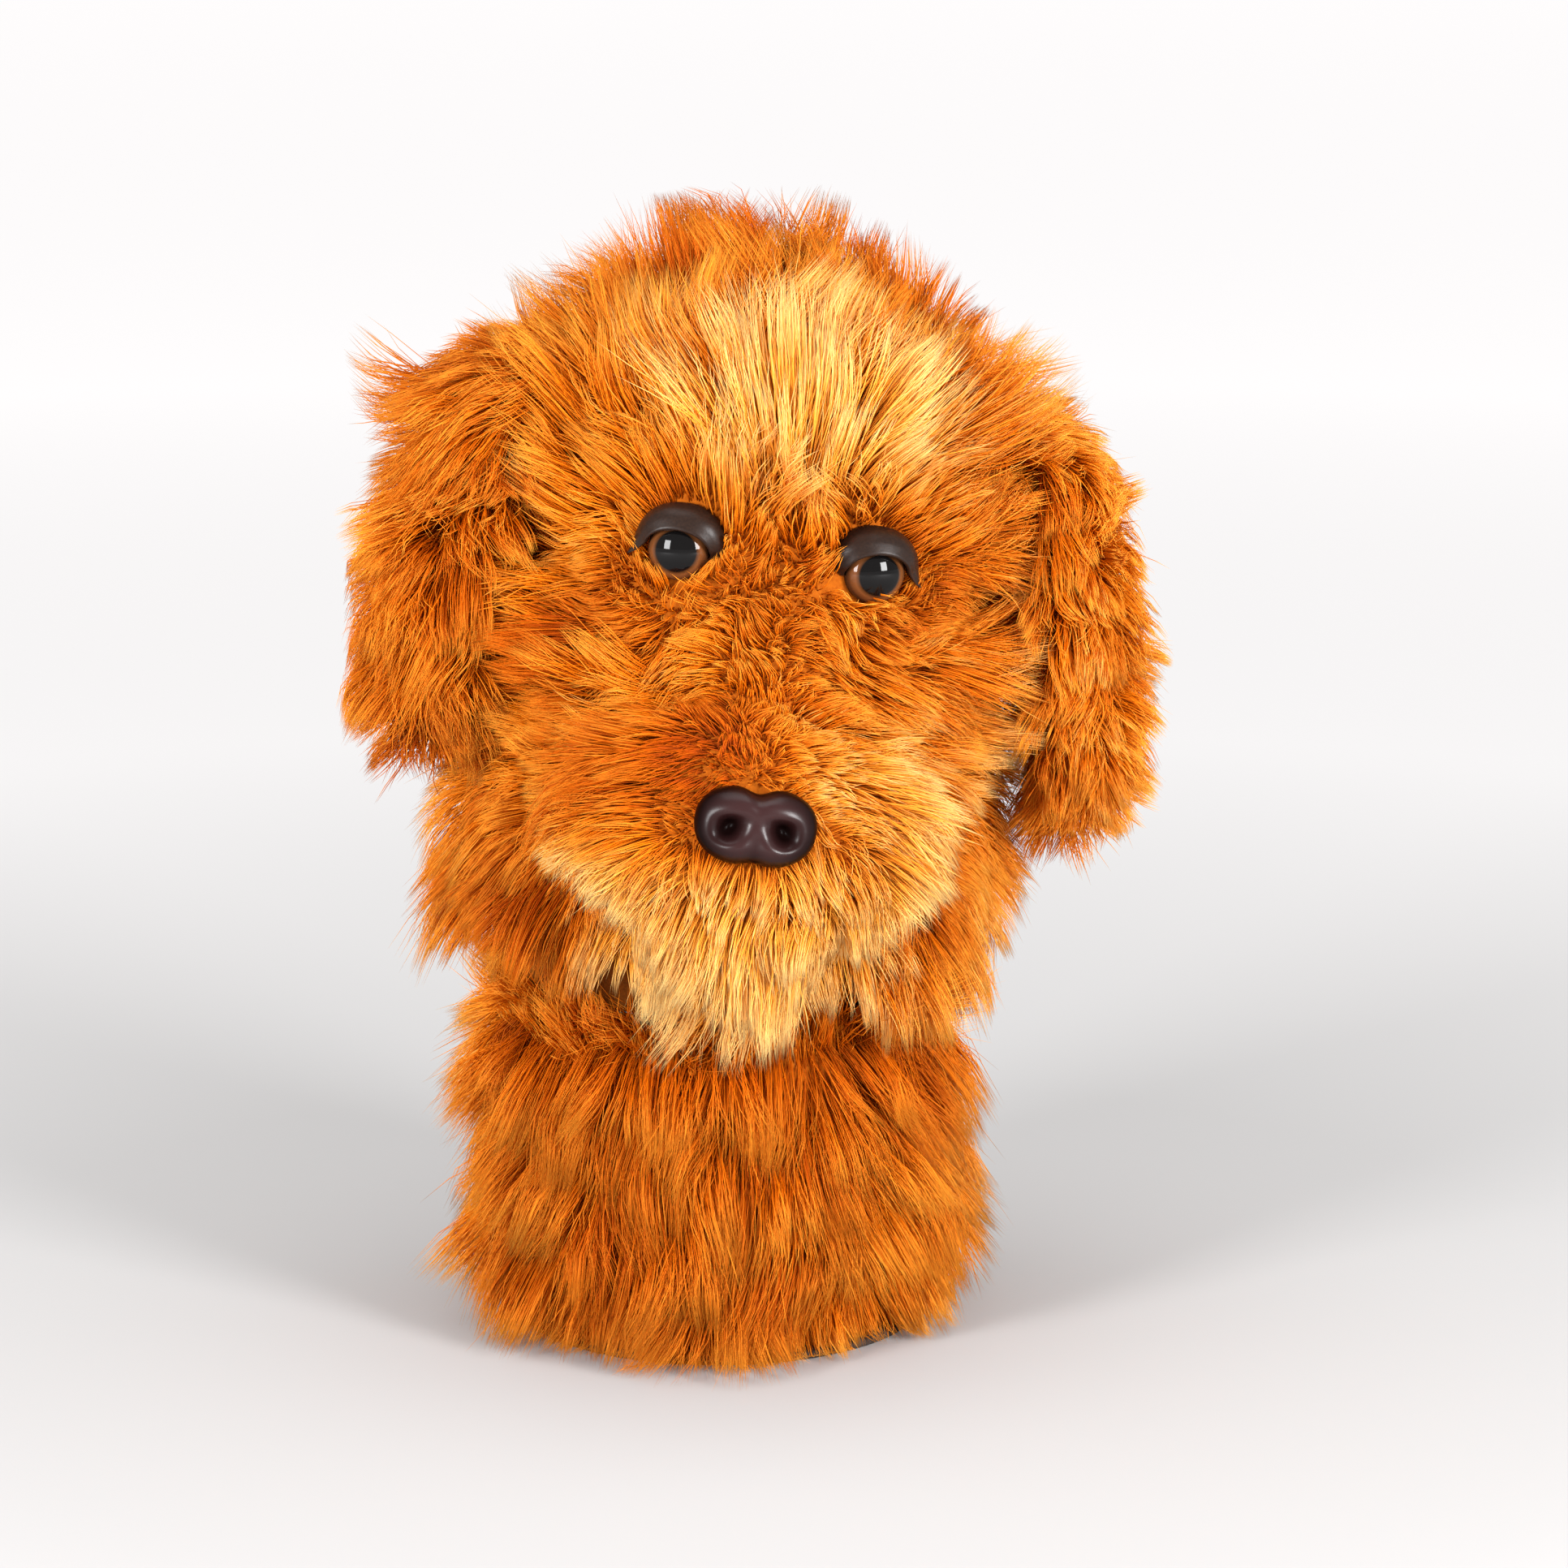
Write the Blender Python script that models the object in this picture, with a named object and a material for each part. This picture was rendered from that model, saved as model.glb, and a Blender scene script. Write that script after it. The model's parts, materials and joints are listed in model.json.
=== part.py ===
"""Plush dog driver head cover: a furry head on a sleeve neck, with hinged ears.

The sleeve stands on its hem at z = 0, and the face looks along -Y. Left and right
are as someone facing the cover sees them, so left is -X. Every soft wall is a solid
as thick as its cloth and the pile that stands on it.

The head turns on the neck about one pivot. The top of the neck is a ball about that
pivot, a thin ring of seam tape runs over the ball, and the head's rim over the tape.
"""

from math import acos, asin, cos, pi, radians, sin, sqrt

import bmesh
import bpy
from mathutils import Matrix, Vector

MM = 0.001
GAP = 0.4 * MM

# Where the neck's axis stands, so that the whole cover is centred on the origin.
NECK_X = -14.5 * MM
NECK_Y = 21.7 * MM

# Neck sleeve: bore, layers and pile, from the inside out.
PIVOT_Z = 150 * MM
NECK_BORE_R = 55 * MM
LINER_WALL = 1.6 * MM
PADDING_WALL = 4.6 * MM
PILE_R = 84 * MM
HEM_H = 3 * MM
HEM_OUTER_R = 70 * MM
HEM_LIP_H = 14 * MM
ELASTIC_WALL = 1.8 * MM
ELASTIC_LOW = 66 * MM
ELASTIC_HIGH = 88 * MM

# The ball joint between neck and head, as radii about the pivot.
BALL_R = 73 * MM
TAPE_INNER_R = 73.6 * MM
TAPE_OUTER_R = 74.6 * MM
SOCKET_R = 75.2 * MM
RIM_SWEEP_R = 89 * MM
BALL_TOP = radians(10)
BALL_FOOT = radians(-26)
TAPE_REACH = radians(9)

# Head, measured from the pivot, upright and looking along -Y.
HEAD_ROLL = radians(7.5)
HEAD_YAW = radians(3.5)
RIM_Z = -12 * MM
RIM_R = 86 * MM
SKULL_R = 84 * MM
SKULL_MID_Z = 125 * MM
SKULL_TOP_Z = 216 * MM
PANEL_WALL = 17.6 * MM
PADDING_THICK = 8 * MM
CROWN_PAD_Z = 134 * MM
HEAD_LINER_WALL = 1.6 * MM
GUSSET_HALF = 13 * MM
GUSSET_Z = 104 * MM
BACK_SEAM_Y = 36 * MM

# Muzzle: a stuffed pouch sewn on the front of the skull.
MUZZLE_CENTRE = Vector((0, -80, 39)) * MM
MUZZLE_HALF = Vector((56, 47, 40)) * MM
MUZZLE_WALL = 13.4 * MM
BRIDGE_HALF = 15 * MM
BRIDGE_Z = 48.3 * MM
CHIN_Z = 17 * MM

# Safety eyes, their lids and washers. Heights run along the eye's axis from its seat.
EYE_X = 31.6 * MM
EYE_Z = 121 * MM
EYE_SEAT_R = 71.5 * MM
EYE_TURN_OUT = radians(14)
EYE_R = 11.2 * MM
EYE_HIGH = 7.5 * MM
EYE_SOCKET_R = 17.8 * MM
LID_INNER_R = 11.8 * MM
LID_WIDE = 5 * MM
LID_HIGH = 8 * MM
LID_ENDS = radians(-16)
STEM_R = 2.5 * MM
STEM_LONG = 7 * MM
WASHER_R = 8 * MM
WASHER_AT = 4 * MM
WASHER_HIGH = 1.8 * MM

# Nose button, with its stem and washer.
NOSE_AT = Vector((0, -118, 45)) * MM
NOSE_HALF_W = 19.5 * MM
NOSE_HALF_H = 13.5 * MM
NOSE_DEEP = 11.5 * MM
NOSE_TIP_UP = radians(12)

# Ears: two plush panels each, hung from a sewn edge that works as a hinge.
EAR_HINGE = Vector((97, 4, 156)) * MM
EAR_FLARE = {-1: radians(4.5), 1: radians(12)}
EAR_LONG = 124 * MM
EAR_ROOT = 6 * MM
EAR_TOP_HALF = 27 * MM
EAR_WIDE_HALF = 40 * MM
EAR_WIDEST = 0.62
EAR_THICK = 12 * MM
EAR_EDGE = 4 * MM
EAR_BOW = 6 * MM

TURNS = 32
FAR = 300 * MM
SIDES = {-1: "left", 1: "right"}

PLUSH = ((0.72, 0.30, 0.07, 1), 0.9)
DEEP_PLUSH = ((0.55, 0.20, 0.04, 1), 0.9)
KNIT = ((0.16, 0.10, 0.07, 1), 0.85)
FILLING = ((0.85, 0.83, 0.80, 1), 0.9)
ELASTIC = ((0.75, 0.74, 0.70, 1), 0.6)
SATIN = ((0.06, 0.025, 0.02, 1), 0.4)
EYE_GLOSS = ((0.05, 0.018, 0.012, 1), 0.1)
NOSE_GLOSS = ((0.04, 0.02, 0.022, 1), 0.25)
WASHER_WHITE = ((0.80, 0.80, 0.78, 1), 0.5)


def clear_scene():
    for item in list(bpy.data.objects):
        bpy.data.objects.remove(item, do_unlink=True)


def material(name, colour, roughness):
    made = bpy.data.materials.new(name)
    made.use_nodes = True
    shader = made.node_tree.nodes["Principled BSDF"]
    shader.inputs["Base Color"].default_value = colour
    shader.inputs["Roughness"].default_value = roughness
    return made


def empty(name, place, turn, parent):
    made = bpy.data.objects.new(name, None)
    made.location = place
    made.rotation_euler = turn
    made.parent = parent
    bpy.context.scene.collection.objects.link(made)
    return made


def piece(name, bm, parent, finish=None):
    """Make an object from a closed bmesh, with its faces turned outwards."""
    bmesh.ops.recalc_face_normals(bm, faces=bm.faces)
    mesh = bpy.data.meshes.new(name)
    bm.to_mesh(mesh)
    bm.free()
    made = bpy.data.objects.new(name, mesh)
    made.parent = parent
    bpy.context.scene.collection.objects.link(made)
    if finish:
        mesh.shade_smooth()
        mesh.set_sharp_from_angle(angle=radians(40))
        mesh.materials.append(material(name, *finish))
    return made


def cutter(name, bm, parent):
    made = piece(name, bm, parent)
    made.hide_render = True
    made.display_type = "WIRE"
    return made


def trim(target, tool, operation="DIFFERENCE"):
    cut = target.modifiers.new(tool.name, "BOOLEAN")
    cut.operation = operation
    cut.solver = "EXACT"
    cut.object = tool


def turned(outline, turns=TURNS):
    """Turn (radius, height) pairs about Z; an outline off the axis closes on itself.

    A third number widens that ring along X, into an ellipse.
    """
    bm = bmesh.new()
    rings = []
    for r, z, *widen in outline:
        if r < 1e-7:
            rings.append([bm.verts.new((0, 0, z))])
            continue
        wide = r * (widen[0] if widen else 1)
        around = [2 * pi * k / turns for k in range(turns)]
        rings.append([bm.verts.new((wide * cos(a), r * sin(a), z)) for a in around])
    pairs = list(zip(rings, rings[1:]))
    if len(rings[0]) > 1:
        pairs.append((rings[-1], rings[0]))
    for one, two in pairs:
        for k in range(turns):
            n = (k + 1) % turns
            ring = [one[k % len(one)], one[n % len(one)], two[n % len(two)], two[k % len(two)]]
            bm.faces.new(dict.fromkeys(ring))
    return bm


def rod(radius, low, high, turns=20):
    return turned([(0, low), (radius, low), (radius, high), (0, high)], turns)


def block(low, high):
    bm = bmesh.new()
    bmesh.ops.create_cube(bm, size=1.0)
    low, high = Vector(low), Vector(high)
    place = Matrix.LocRotScale((low + high) / 2, None, high - low)
    bmesh.ops.transform(bm, matrix=place, verts=bm.verts)
    return bm


def ellipsoid(centre, half):
    bm = bmesh.new()
    bmesh.ops.create_uvsphere(bm, u_segments=24, v_segments=14, radius=1.0)
    bmesh.ops.transform(bm, matrix=Matrix.LocRotScale(centre, None, half), verts=bm.verts)
    return bm


def slab(front, back):
    """Close two equal grids of points into one solid."""
    bm = bmesh.new()
    sheets = [[[bm.verts.new(p) for p in row] for row in grid] for grid in (front, back)]
    rows, columns = len(front), len(front[0])
    for sheet in sheets:
        for i in range(rows - 1):
            for j in range(columns - 1):
                corners = (i, j), (i + 1, j), (i + 1, j + 1), (i, j + 1)
                bm.faces.new([sheet[a][b] for a, b in corners])
    edge = [(0, j) for j in range(columns)] + [(i, columns - 1) for i in range(1, rows)]
    edge += [(rows - 1, j) for j in range(columns - 2, -1, -1)]
    edge += [(i, 0) for i in range(rows - 2, 0, -1)]
    one, two = sheets
    for (a, b), (c, d) in zip(edge, edge[1:] + edge[:1]):
        bm.faces.new([one[a][b], one[c][d], two[c][d], two[a][b]])
    return bm


def arc(radius, start, end, steps):
    """Points at one distance from the pivot, by angle above the horizontal."""
    angles = [start + (end - start) * k / steps for k in range(steps + 1)]
    return [(radius * cos(a), radius * sin(a)) for a in angles]


def dome(wall_r, top_z, steps=7):
    """Quarter ellipse from the skull's side up to its crown, on the axis."""
    angles = [pi / 2 * k / steps for k in range(steps)]
    high = top_z - SKULL_MID_Z
    return [(wall_r * cos(a), SKULL_MID_Z + high * sin(a)) for a in angles] + [(0, top_z)]


def build_neck(root):
    """The sleeve, its bare top band, layers, elastic and hem, turned about the neck's axis."""
    floor = -PIVOT_Z
    liner_out = NECK_BORE_R + LINER_WALL
    padding_in = liner_out + GAP
    padding_out = padding_in + PADDING_WALL
    sleeve_in = padding_out + GAP
    low_edge = floor + HEM_H + GAP
    ball_edge = BALL_R * sin(BALL_TOP)

    shoulder = -sqrt(RIM_SWEEP_R**2 - PILE_R**2)
    groove = (RIM_SWEEP_R * cos(BALL_FOOT), RIM_SWEEP_R * sin(BALL_FOOT))
    ball = arc(BALL_R, BALL_FOOT, BALL_TOP, 6)
    foot_r, foot_z = ball[0]
    sleeve = [(sleeve_in, low_edge), (PILE_R - 8 * MM, low_edge), (PILE_R, floor + 14 * MM)]
    sleeve += [(PILE_R, -90 * MM), (PILE_R, shoulder), groove]
    sleeve += [(foot_r, foot_z - GAP), (sleeve_in, foot_z - GAP)]
    piece("neck_sleeve", turned(sleeve), root, DEEP_PLUSH)
    piece("neck_top_band", turned(ball + [(sleeve_in, ball_edge), (sleeve_in, foot_z)]), root, KNIT)

    low, high = ELASTIC_LOW - PIVOT_Z, ELASTIC_HIGH - PIVOT_Z
    notch = padding_in + ELASTIC_WALL + GAP
    padding = [(padding_out, low_edge), (padding_out, ball_edge), (padding_in, ball_edge)]
    padding += [(padding_in, high + GAP), (notch, high + GAP), (notch, low - GAP)]
    padding += [(padding_in, low - GAP), (padding_in, low_edge)]
    piece("neck_padding", turned(padding), root, FILLING)

    band_out = padding_in + ELASTIC_WALL
    band = [(padding_in, low), (band_out, low), (band_out, high), (padding_in, high)]
    piece("neck_elastic", turned(band), root, ELASTIC)

    lip = floor + HEM_LIP_H
    liner = [(NECK_BORE_R, lip + GAP), (liner_out, lip + GAP)]
    liner += [(liner_out, ball_edge), (NECK_BORE_R, ball_edge)]
    piece("neck_liner", turned(liner), root, KNIT)

    hem = [(NECK_BORE_R, floor), (HEM_OUTER_R, floor), (HEM_OUTER_R, floor + HEM_H)]
    hem += [(liner_out, floor + HEM_H), (liner_out, lip), (NECK_BORE_R, lip)]
    piece("hem_binding", turned(hem), root, KNIT)


def build_tape(root):
    inner = arc(TAPE_INNER_R, -TAPE_REACH, TAPE_REACH, 4)
    outer = arc(TAPE_OUTER_R, TAPE_REACH, -TAPE_REACH, 4)
    piece("neck_seam_tape", turned(inner + outer), root, KNIT)


def skull_outside(grow=0.0):
    """The skull's outline from its crown down to its rim, for the plush wall's outside."""
    crown = dome(SKULL_R + grow, SKULL_TOP_Z + grow)[::-1]
    cheek = (RIM_R - MM + grow, 75 * MM)
    return crown + [cheek, (RIM_R + grow, 30 * MM), (RIM_R + grow, RIM_Z)]


def skull_layer(outer_r, outer_top, wall, clear_r):
    """A capped tube inside the skull, its foot cut back to clear the neck's ball."""
    inner_r = outer_r - wall
    outside = dome(outer_r, outer_top)[::-1] + [(outer_r, sqrt(clear_r**2 - outer_r**2))]
    inside = [(inner_r, sqrt(clear_r**2 - inner_r**2))] + dome(inner_r, outer_top - wall)
    return turned(outside + inside)


def eye_frames(head):
    """One empty on each eye's seat, with its Z axis looking out of the head."""
    frames = {}
    for side, word in SIDES.items():
        seat = (side * EYE_X, -sqrt(EYE_SEAT_R**2 - EYE_X**2), EYE_Z)
        frames[side] = empty(f"eye_seat_{word}", seat, (pi / 2, 0, side * EYE_TURN_OUT), head)
    return frames


def button_room(name, frame, socket_r, widen=1.0):
    """What a button needs in the cloth: its socket, its stem's hole and its washer's room."""
    low, high = -(STEM_LONG + GAP), -(WASHER_AT - GAP)
    room = [(0, low), (WASHER_R + GAP, low), (WASHER_R + GAP, high), (STEM_R + GAP, high)]
    room += [(STEM_R + GAP, -GAP), (socket_r, -GAP, widen), (socket_r, FAR / 4, widen)]
    return cutter(name, turned(room + [(0, FAR / 4)], 24), frame)


def washer(name, frame):
    low, high = -(WASHER_AT + WASHER_HIGH), -WASHER_AT
    hole = STEM_R + GAP
    ring = [(hole, low), (WASHER_R, low), (WASHER_R, high), (hole, high)]
    piece(name, turned(ring, 24), frame, WASHER_WHITE)


def build_skull(head, eye_rooms):
    """Four plush panels cut from one wall, over the padding and the inner sock."""
    wall_in = SKULL_R - PANEL_WALL
    foot = arc(SOCKET_R, asin(RIM_Z / SOCKET_R), acos(wall_in / SOCKET_R), 5)
    plush_wall = skull_outside() + foot + dome(wall_in, SKULL_TOP_Z - PANEL_WALL)

    half, seam = GUSSET_HALF, GUSSET_Z
    strip = block((-half, -FAR, seam + GAP), (half, FAR, FAR))
    strip_room = block((-half - GAP, -FAR, seam), (half + GAP, FAR, FAR))
    nape = block((-FAR, BACK_SEAM_Y, -FAR), (FAR, FAR, seam))
    nape_room = block((-FAR, BACK_SEAM_Y - GAP, -FAR), (FAR, FAR, seam + GAP))
    strip, nape = cutter("gusset_cut", strip, head), cutter("back_cut", nape, head)
    rooms = [cutter("gusset_room", strip_room, head), cutter("back_room", nape_room, head)]

    gusset = piece("head_crown_gusset", turned(plush_wall), head, PLUSH)
    trim(gusset, strip, "INTERSECT")
    back = piece("head_back_panel", turned(plush_wall), head, PLUSH)
    trim(back, nape, "INTERSECT")
    for side, word in SIDES.items():
        near, far = sorted((side * GAP / 2, side * FAR))
        half_space = cutter(f"side_cut_{word}", block((near, -FAR, -FAR), (far, FAR, FAR)), head)
        panel = piece(f"head_side_{word}", turned(plush_wall), head, PLUSH)
        trim(panel, half_space, "INTERSECT")
        for tool in rooms + [eye_rooms[side]]:
            trim(panel, tool)

    padding_out = wall_in - GAP
    padding_top = SKULL_TOP_Z - PANEL_WALL - GAP
    clear_r = SOCKET_R + MM
    split = CROWN_PAD_Z
    zones = {"skull_padding": (-FAR, split - GAP / 2), "crown_padding": (split + GAP / 2, FAR)}
    for name, (low, high) in zones.items():
        padding = skull_layer(padding_out, padding_top, PADDING_THICK, clear_r)
        padding = piece(name, padding, head, FILLING)
        zone = cutter(f"{name}_zone", block((-FAR, -FAR, low), (FAR, FAR, high)), head)
        trim(padding, zone, "INTERSECT")
        if low < 0:
            for side in SIDES:
                trim(padding, eye_rooms[side])

    sock_out = padding_out - PADDING_THICK - GAP
    sock_top = padding_top - PADDING_THICK - GAP
    sock = skull_layer(sock_out, sock_top, HEAD_LINER_WALL, clear_r)
    piece("head_liner", sock, head, KNIT)


def build_eyes(head):
    """Domed buttons on stems, washers behind the cloth, and crescent lids over them."""
    rooms = {}
    for side, frame in eye_frames(head).items():
        word = SIDES[side]
        curve = [radians(a) for a in (90, 70, 50, 32, 16, 4)]
        button = [(EYE_R * cos(a), EYE_HIGH * sin(a)) for a in curve[1:]]
        button = [(0, EYE_HIGH)] + button + [(EYE_R, 0), (STEM_R, 0)]
        button += [(STEM_R, -STEM_LONG), (0, -STEM_LONG)]
        piece(f"eye_{word}", turned(button, 24), frame, EYE_GLOSS)
        washer(f"eye_washer_{word}", frame)
        piece(f"eyelid_{word}", eyelid(), frame, SATIN)
        rooms[side] = button_room(f"eye_room_{word}", frame, EYE_SOCKET_R)
    return rooms


def eyelid(steps=14):
    """A hood round the upper part of the eye, widest at its top and thin at its ends."""
    rows = []
    for k in range(steps + 1):
        a = LID_ENDS + (pi - 2 * LID_ENDS) * k / steps
        full = 0.35 + 0.65 * max(sin(a), 0)
        outer = LID_INNER_R + LID_WIDE * full
        section = [(LID_INNER_R, 0), (outer, 0), (outer - MM, LID_HIGH * full)]
        section += [(LID_INNER_R, LID_HIGH * (full + 0.1) * 0.95)]
        rows.append([(r * cos(a), r * sin(a), z) for r, z in section])
    return swept(rows)


def swept(rows):
    """Join equal loops of points into one tube, closed by its two end loops."""
    bm = bmesh.new()
    loops = [[bm.verts.new(p) for p in row] for row in rows]
    for one, two in zip(loops, loops[1:]):
        for j in range(len(one)):
            n = (j + 1) % len(one)
            bm.faces.new([one[j], one[n], two[n], two[j]])
    bm.faces.new(loops[0])
    bm.faces.new(loops[-1])
    return bm


def build_muzzle(head):
    """Four plush panels round a stuffing, cut to the skull behind and the nose in front."""
    frame = empty("nose_seat", NOSE_AT, (pi / 2 - NOSE_TIP_UP, 0, 0), head)
    inner_half = MUZZLE_HALF - Vector((MUZZLE_WALL,) * 3)
    skull = [(0, RIM_Z - FAR)] + skull_outside(GAP)[::-1]
    skull.insert(1, (RIM_R + GAP, RIM_Z - FAR))
    skull = cutter("skull_room", turned(skull), head)
    hollow = cutter("muzzle_hollow", ellipsoid(MUZZLE_CENTRE, inner_half), head)
    widen = NOSE_HALF_W / NOSE_HALF_H
    nose_room = button_room("nose_room", frame, NOSE_HALF_H + GAP, widen)

    top = block((-BRIDGE_HALF, -FAR, BRIDGE_Z + GAP), (BRIDGE_HALF, FAR, FAR))
    top_room = block((-BRIDGE_HALF - GAP, -FAR, BRIDGE_Z), (BRIDGE_HALF + GAP, FAR, FAR))
    chin = block((-FAR, -FAR, -FAR), (FAR, FAR, CHIN_Z))
    chin_room = cutter("chin_room", block((-FAR, -FAR, -FAR), (FAR, FAR, CHIN_Z + GAP)), head)
    plans = {"muzzle_bridge": [(cutter("bridge_cut", top, head), "INTERSECT")]}
    plans["chin_panel"] = [(cutter("chin_cut", chin, head), "INTERSECT")]
    top_room = cutter("bridge_room", top_room, head)
    for side, word in SIDES.items():
        near, far = sorted((side * GAP / 2, side * FAR))
        half = cutter(f"muzzle_cut_{word}", block((near, -FAR, -FAR), (far, FAR, FAR)), head)
        rooms = [(top_room, "DIFFERENCE"), (chin_room, "DIFFERENCE")]
        plans[f"muzzle_{word}"] = [(half, "INTERSECT")] + rooms
    for name, cuts in plans.items():
        panel = piece(name, ellipsoid(MUZZLE_CENTRE, MUZZLE_HALF), head, PLUSH)
        for tool, operation in cuts:
            trim(panel, tool, operation)
        for tool in (skull, hollow, nose_room):
            trim(panel, tool)

    shrink = Vector((GAP,) * 3)
    stuffing = ellipsoid(MUZZLE_CENTRE, inner_half - shrink)
    stuffing = piece("muzzle_stuffing", stuffing, head, FILLING)
    for tool in (skull, nose_room):
        trim(stuffing, tool)
    build_nose(frame, widen)


def build_nose(frame, widen):
    curve = [radians(a) for a in (68, 48, 30, 14, 2)]
    button = [(NOSE_HALF_H * cos(a), NOSE_DEEP * sin(a), widen) for a in curve]
    button = [(0, NOSE_DEEP)] + button + [(NOSE_HALF_H, 0, widen), (0, 0)]
    nose = piece("nose", turned(button, 32), frame, NOSE_GLOSS)
    stem = cutter("nose_stem", rod(STEM_R, -STEM_LONG, 3 * MM), frame)
    trim(nose, stem, "UNION")
    washer("nose_washer", frame)


def ear_half_width(u):
    """Half of the ear's width at a fraction u of its length, from root to tip."""
    if u < EAR_WIDEST:
        return EAR_TOP_HALF + (EAR_WIDE_HALF - EAR_TOP_HALF) * sin(pi / 2 * max(u, 0) / EAR_WIDEST)
    return EAR_WIDE_HALF * sqrt(1 - 0.86 * ((u - EAR_WIDEST) / (1 - EAR_WIDEST)) ** 2)


def ear_panel(face):
    """One panel of an ear, from its middle cloth out to its pile; face is 1 or -1."""
    cloth, pile = [], []
    rows, columns = 11, 6
    for i in range(rows + 1):
        down = -EAR_ROOT + (EAR_LONG + EAR_ROOT) * i / rows
        u = down / EAR_LONG
        bow = EAR_BOW * sin(pi * max(u, 0))
        ends = min(1, 0.45 + 2.2 * i / rows, 0.25 + 3.0 * (1 - i / rows))
        cloth.append([])
        pile.append([])
        for j in range(columns + 1):
            v = 2 * j / columns - 1
            thick = EAR_EDGE + (EAR_THICK - EAR_EDGE) * (1 - v * v) * ends
            thick = min(thick, EAR_EDGE + (EAR_THICK - EAR_EDGE) * ends)
            y = v * ear_half_width(u)
            cloth[-1].append((bow + face * GAP / 2, y, -down))
            pile[-1].append((bow + face * thick, y, -down))
    return slab(cloth, pile)


def build_ears(head):
    for side, word in SIDES.items():
        place = (side * EAR_HINGE.x, EAR_HINGE.y, EAR_HINGE.z)
        hinge = empty(f"ear_hinge_{word}", place, (0, -side * EAR_FLARE[side], 0), head)
        turn = empty(f"ear_facing_{word}", (0, 0, 0), (0, 0, 0 if side > 0 else pi), hinge)
        piece(f"ear_outer_{word}", ear_panel(1), turn, PLUSH)
        piece(f"ear_inner_{word}", ear_panel(-1), turn, DEEP_PLUSH)


def build():
    clear_scene()
    root = empty("neck_pivot", (NECK_X, NECK_Y, PIVOT_Z), (0, 0, 0), None)
    tilt = empty("head_roll", (0, 0, 0), (0, HEAD_ROLL, 0), root)
    head = empty("head_turn", (0, 0, 0), (0, 0, HEAD_YAW), tilt)
    build_neck(root)
    build_tape(root)
    build_skull(head, build_eyes(head))
    build_muzzle(head)
    build_ears(head)


build()
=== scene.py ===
"""The looks of a plush dog driver head cover: skin, strand fur, eyes, nose and linings.

Shapes are worked out in millimetres in the head's own frame (origin at the neck's
pivot, face along -Y, upright) or the neck's (same origin, never leaning), and are then
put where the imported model's joints say that the head and the neck are.
"""

import json
from math import cos, pi, radians, sin, sqrt
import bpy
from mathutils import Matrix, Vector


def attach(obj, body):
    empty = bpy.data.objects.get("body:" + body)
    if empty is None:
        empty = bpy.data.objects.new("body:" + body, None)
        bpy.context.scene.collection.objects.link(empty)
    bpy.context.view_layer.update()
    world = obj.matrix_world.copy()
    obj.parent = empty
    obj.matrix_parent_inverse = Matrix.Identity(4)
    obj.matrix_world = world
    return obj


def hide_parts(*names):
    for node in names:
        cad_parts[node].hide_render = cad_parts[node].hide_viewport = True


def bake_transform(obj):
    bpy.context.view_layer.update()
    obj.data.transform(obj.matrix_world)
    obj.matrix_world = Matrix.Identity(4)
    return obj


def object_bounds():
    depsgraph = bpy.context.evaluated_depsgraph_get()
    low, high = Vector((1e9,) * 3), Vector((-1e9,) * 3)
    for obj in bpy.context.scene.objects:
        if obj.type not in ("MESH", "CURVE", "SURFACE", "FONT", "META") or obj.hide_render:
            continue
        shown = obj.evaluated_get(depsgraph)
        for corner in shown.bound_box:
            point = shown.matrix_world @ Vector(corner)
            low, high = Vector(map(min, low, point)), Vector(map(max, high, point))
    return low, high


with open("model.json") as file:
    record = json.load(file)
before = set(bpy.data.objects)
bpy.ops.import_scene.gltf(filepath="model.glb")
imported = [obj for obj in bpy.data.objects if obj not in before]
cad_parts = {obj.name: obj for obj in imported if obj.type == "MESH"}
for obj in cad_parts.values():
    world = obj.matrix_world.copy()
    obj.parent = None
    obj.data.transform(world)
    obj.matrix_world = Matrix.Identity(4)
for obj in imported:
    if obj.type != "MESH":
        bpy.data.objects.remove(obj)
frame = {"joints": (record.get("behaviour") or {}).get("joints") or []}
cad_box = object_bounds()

from types import SimpleNamespace

import bmesh
import bpy
import numpy as np
from mathutils import Matrix, Vector, kdtree

MM = 0.001
SEED = 7

# ---- where things are

joints = {joint["name"]: joint for joint in frame["joints"]}
pivot = Vector(joints["head_tilt"]["pos_m"])
left_hinge = Vector(joints["left_ear_flop"]["pos_m"])
right_hinge = Vector(joints["right_ear_flop"]["pos_m"])
across = (right_hinge - left_hinge).normalized()
backward = Vector(joints["left_ear_flop"]["axis"]).normalized()
HEAD_TURN = Matrix((across, backward, across.cross(backward))).transposed().to_4x4()
HEAD = Matrix.Translation(pivot) @ HEAD_TURN @ Matrix.Scale(MM, 4)
NECK = Matrix.Translation(pivot) @ Matrix.Scale(MM, 4)
FLOOR = -pivot.z / MM

# Head, in the head's frame.
SKULL_R = 70
SKULL_MID_Z = 124
SKULL_TOP_Z = 196
RIM_Z = -9
RIM_R = 79
MUZZLE_AT = (0, -78, 38)
MUZZLE_HALF = (47, 40, 34)
EYE_X, EYE_Z, EYE_SEAT_R, EYE_TURN = 31.6, 121, 71.5, radians(14)
EYE_Y = -sqrt(EYE_SEAT_R**2 - EYE_X**2)
NOSE_AT, NOSE_UP = Vector((0, -118, 45)), radians(12)
EYE_R, EYE_DOME = 10.2, 7.2
HEAD_CLOTH = 2.4
SIDES = {-1: "left", 1: "right"}

# Neck, in the neck's frame. The ball is the bare band that the head's rim turns over.
NECK_R = 68
NECK_CLOTH = 4.6
BALL_R = 72.6
BORE_R = 55

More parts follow.
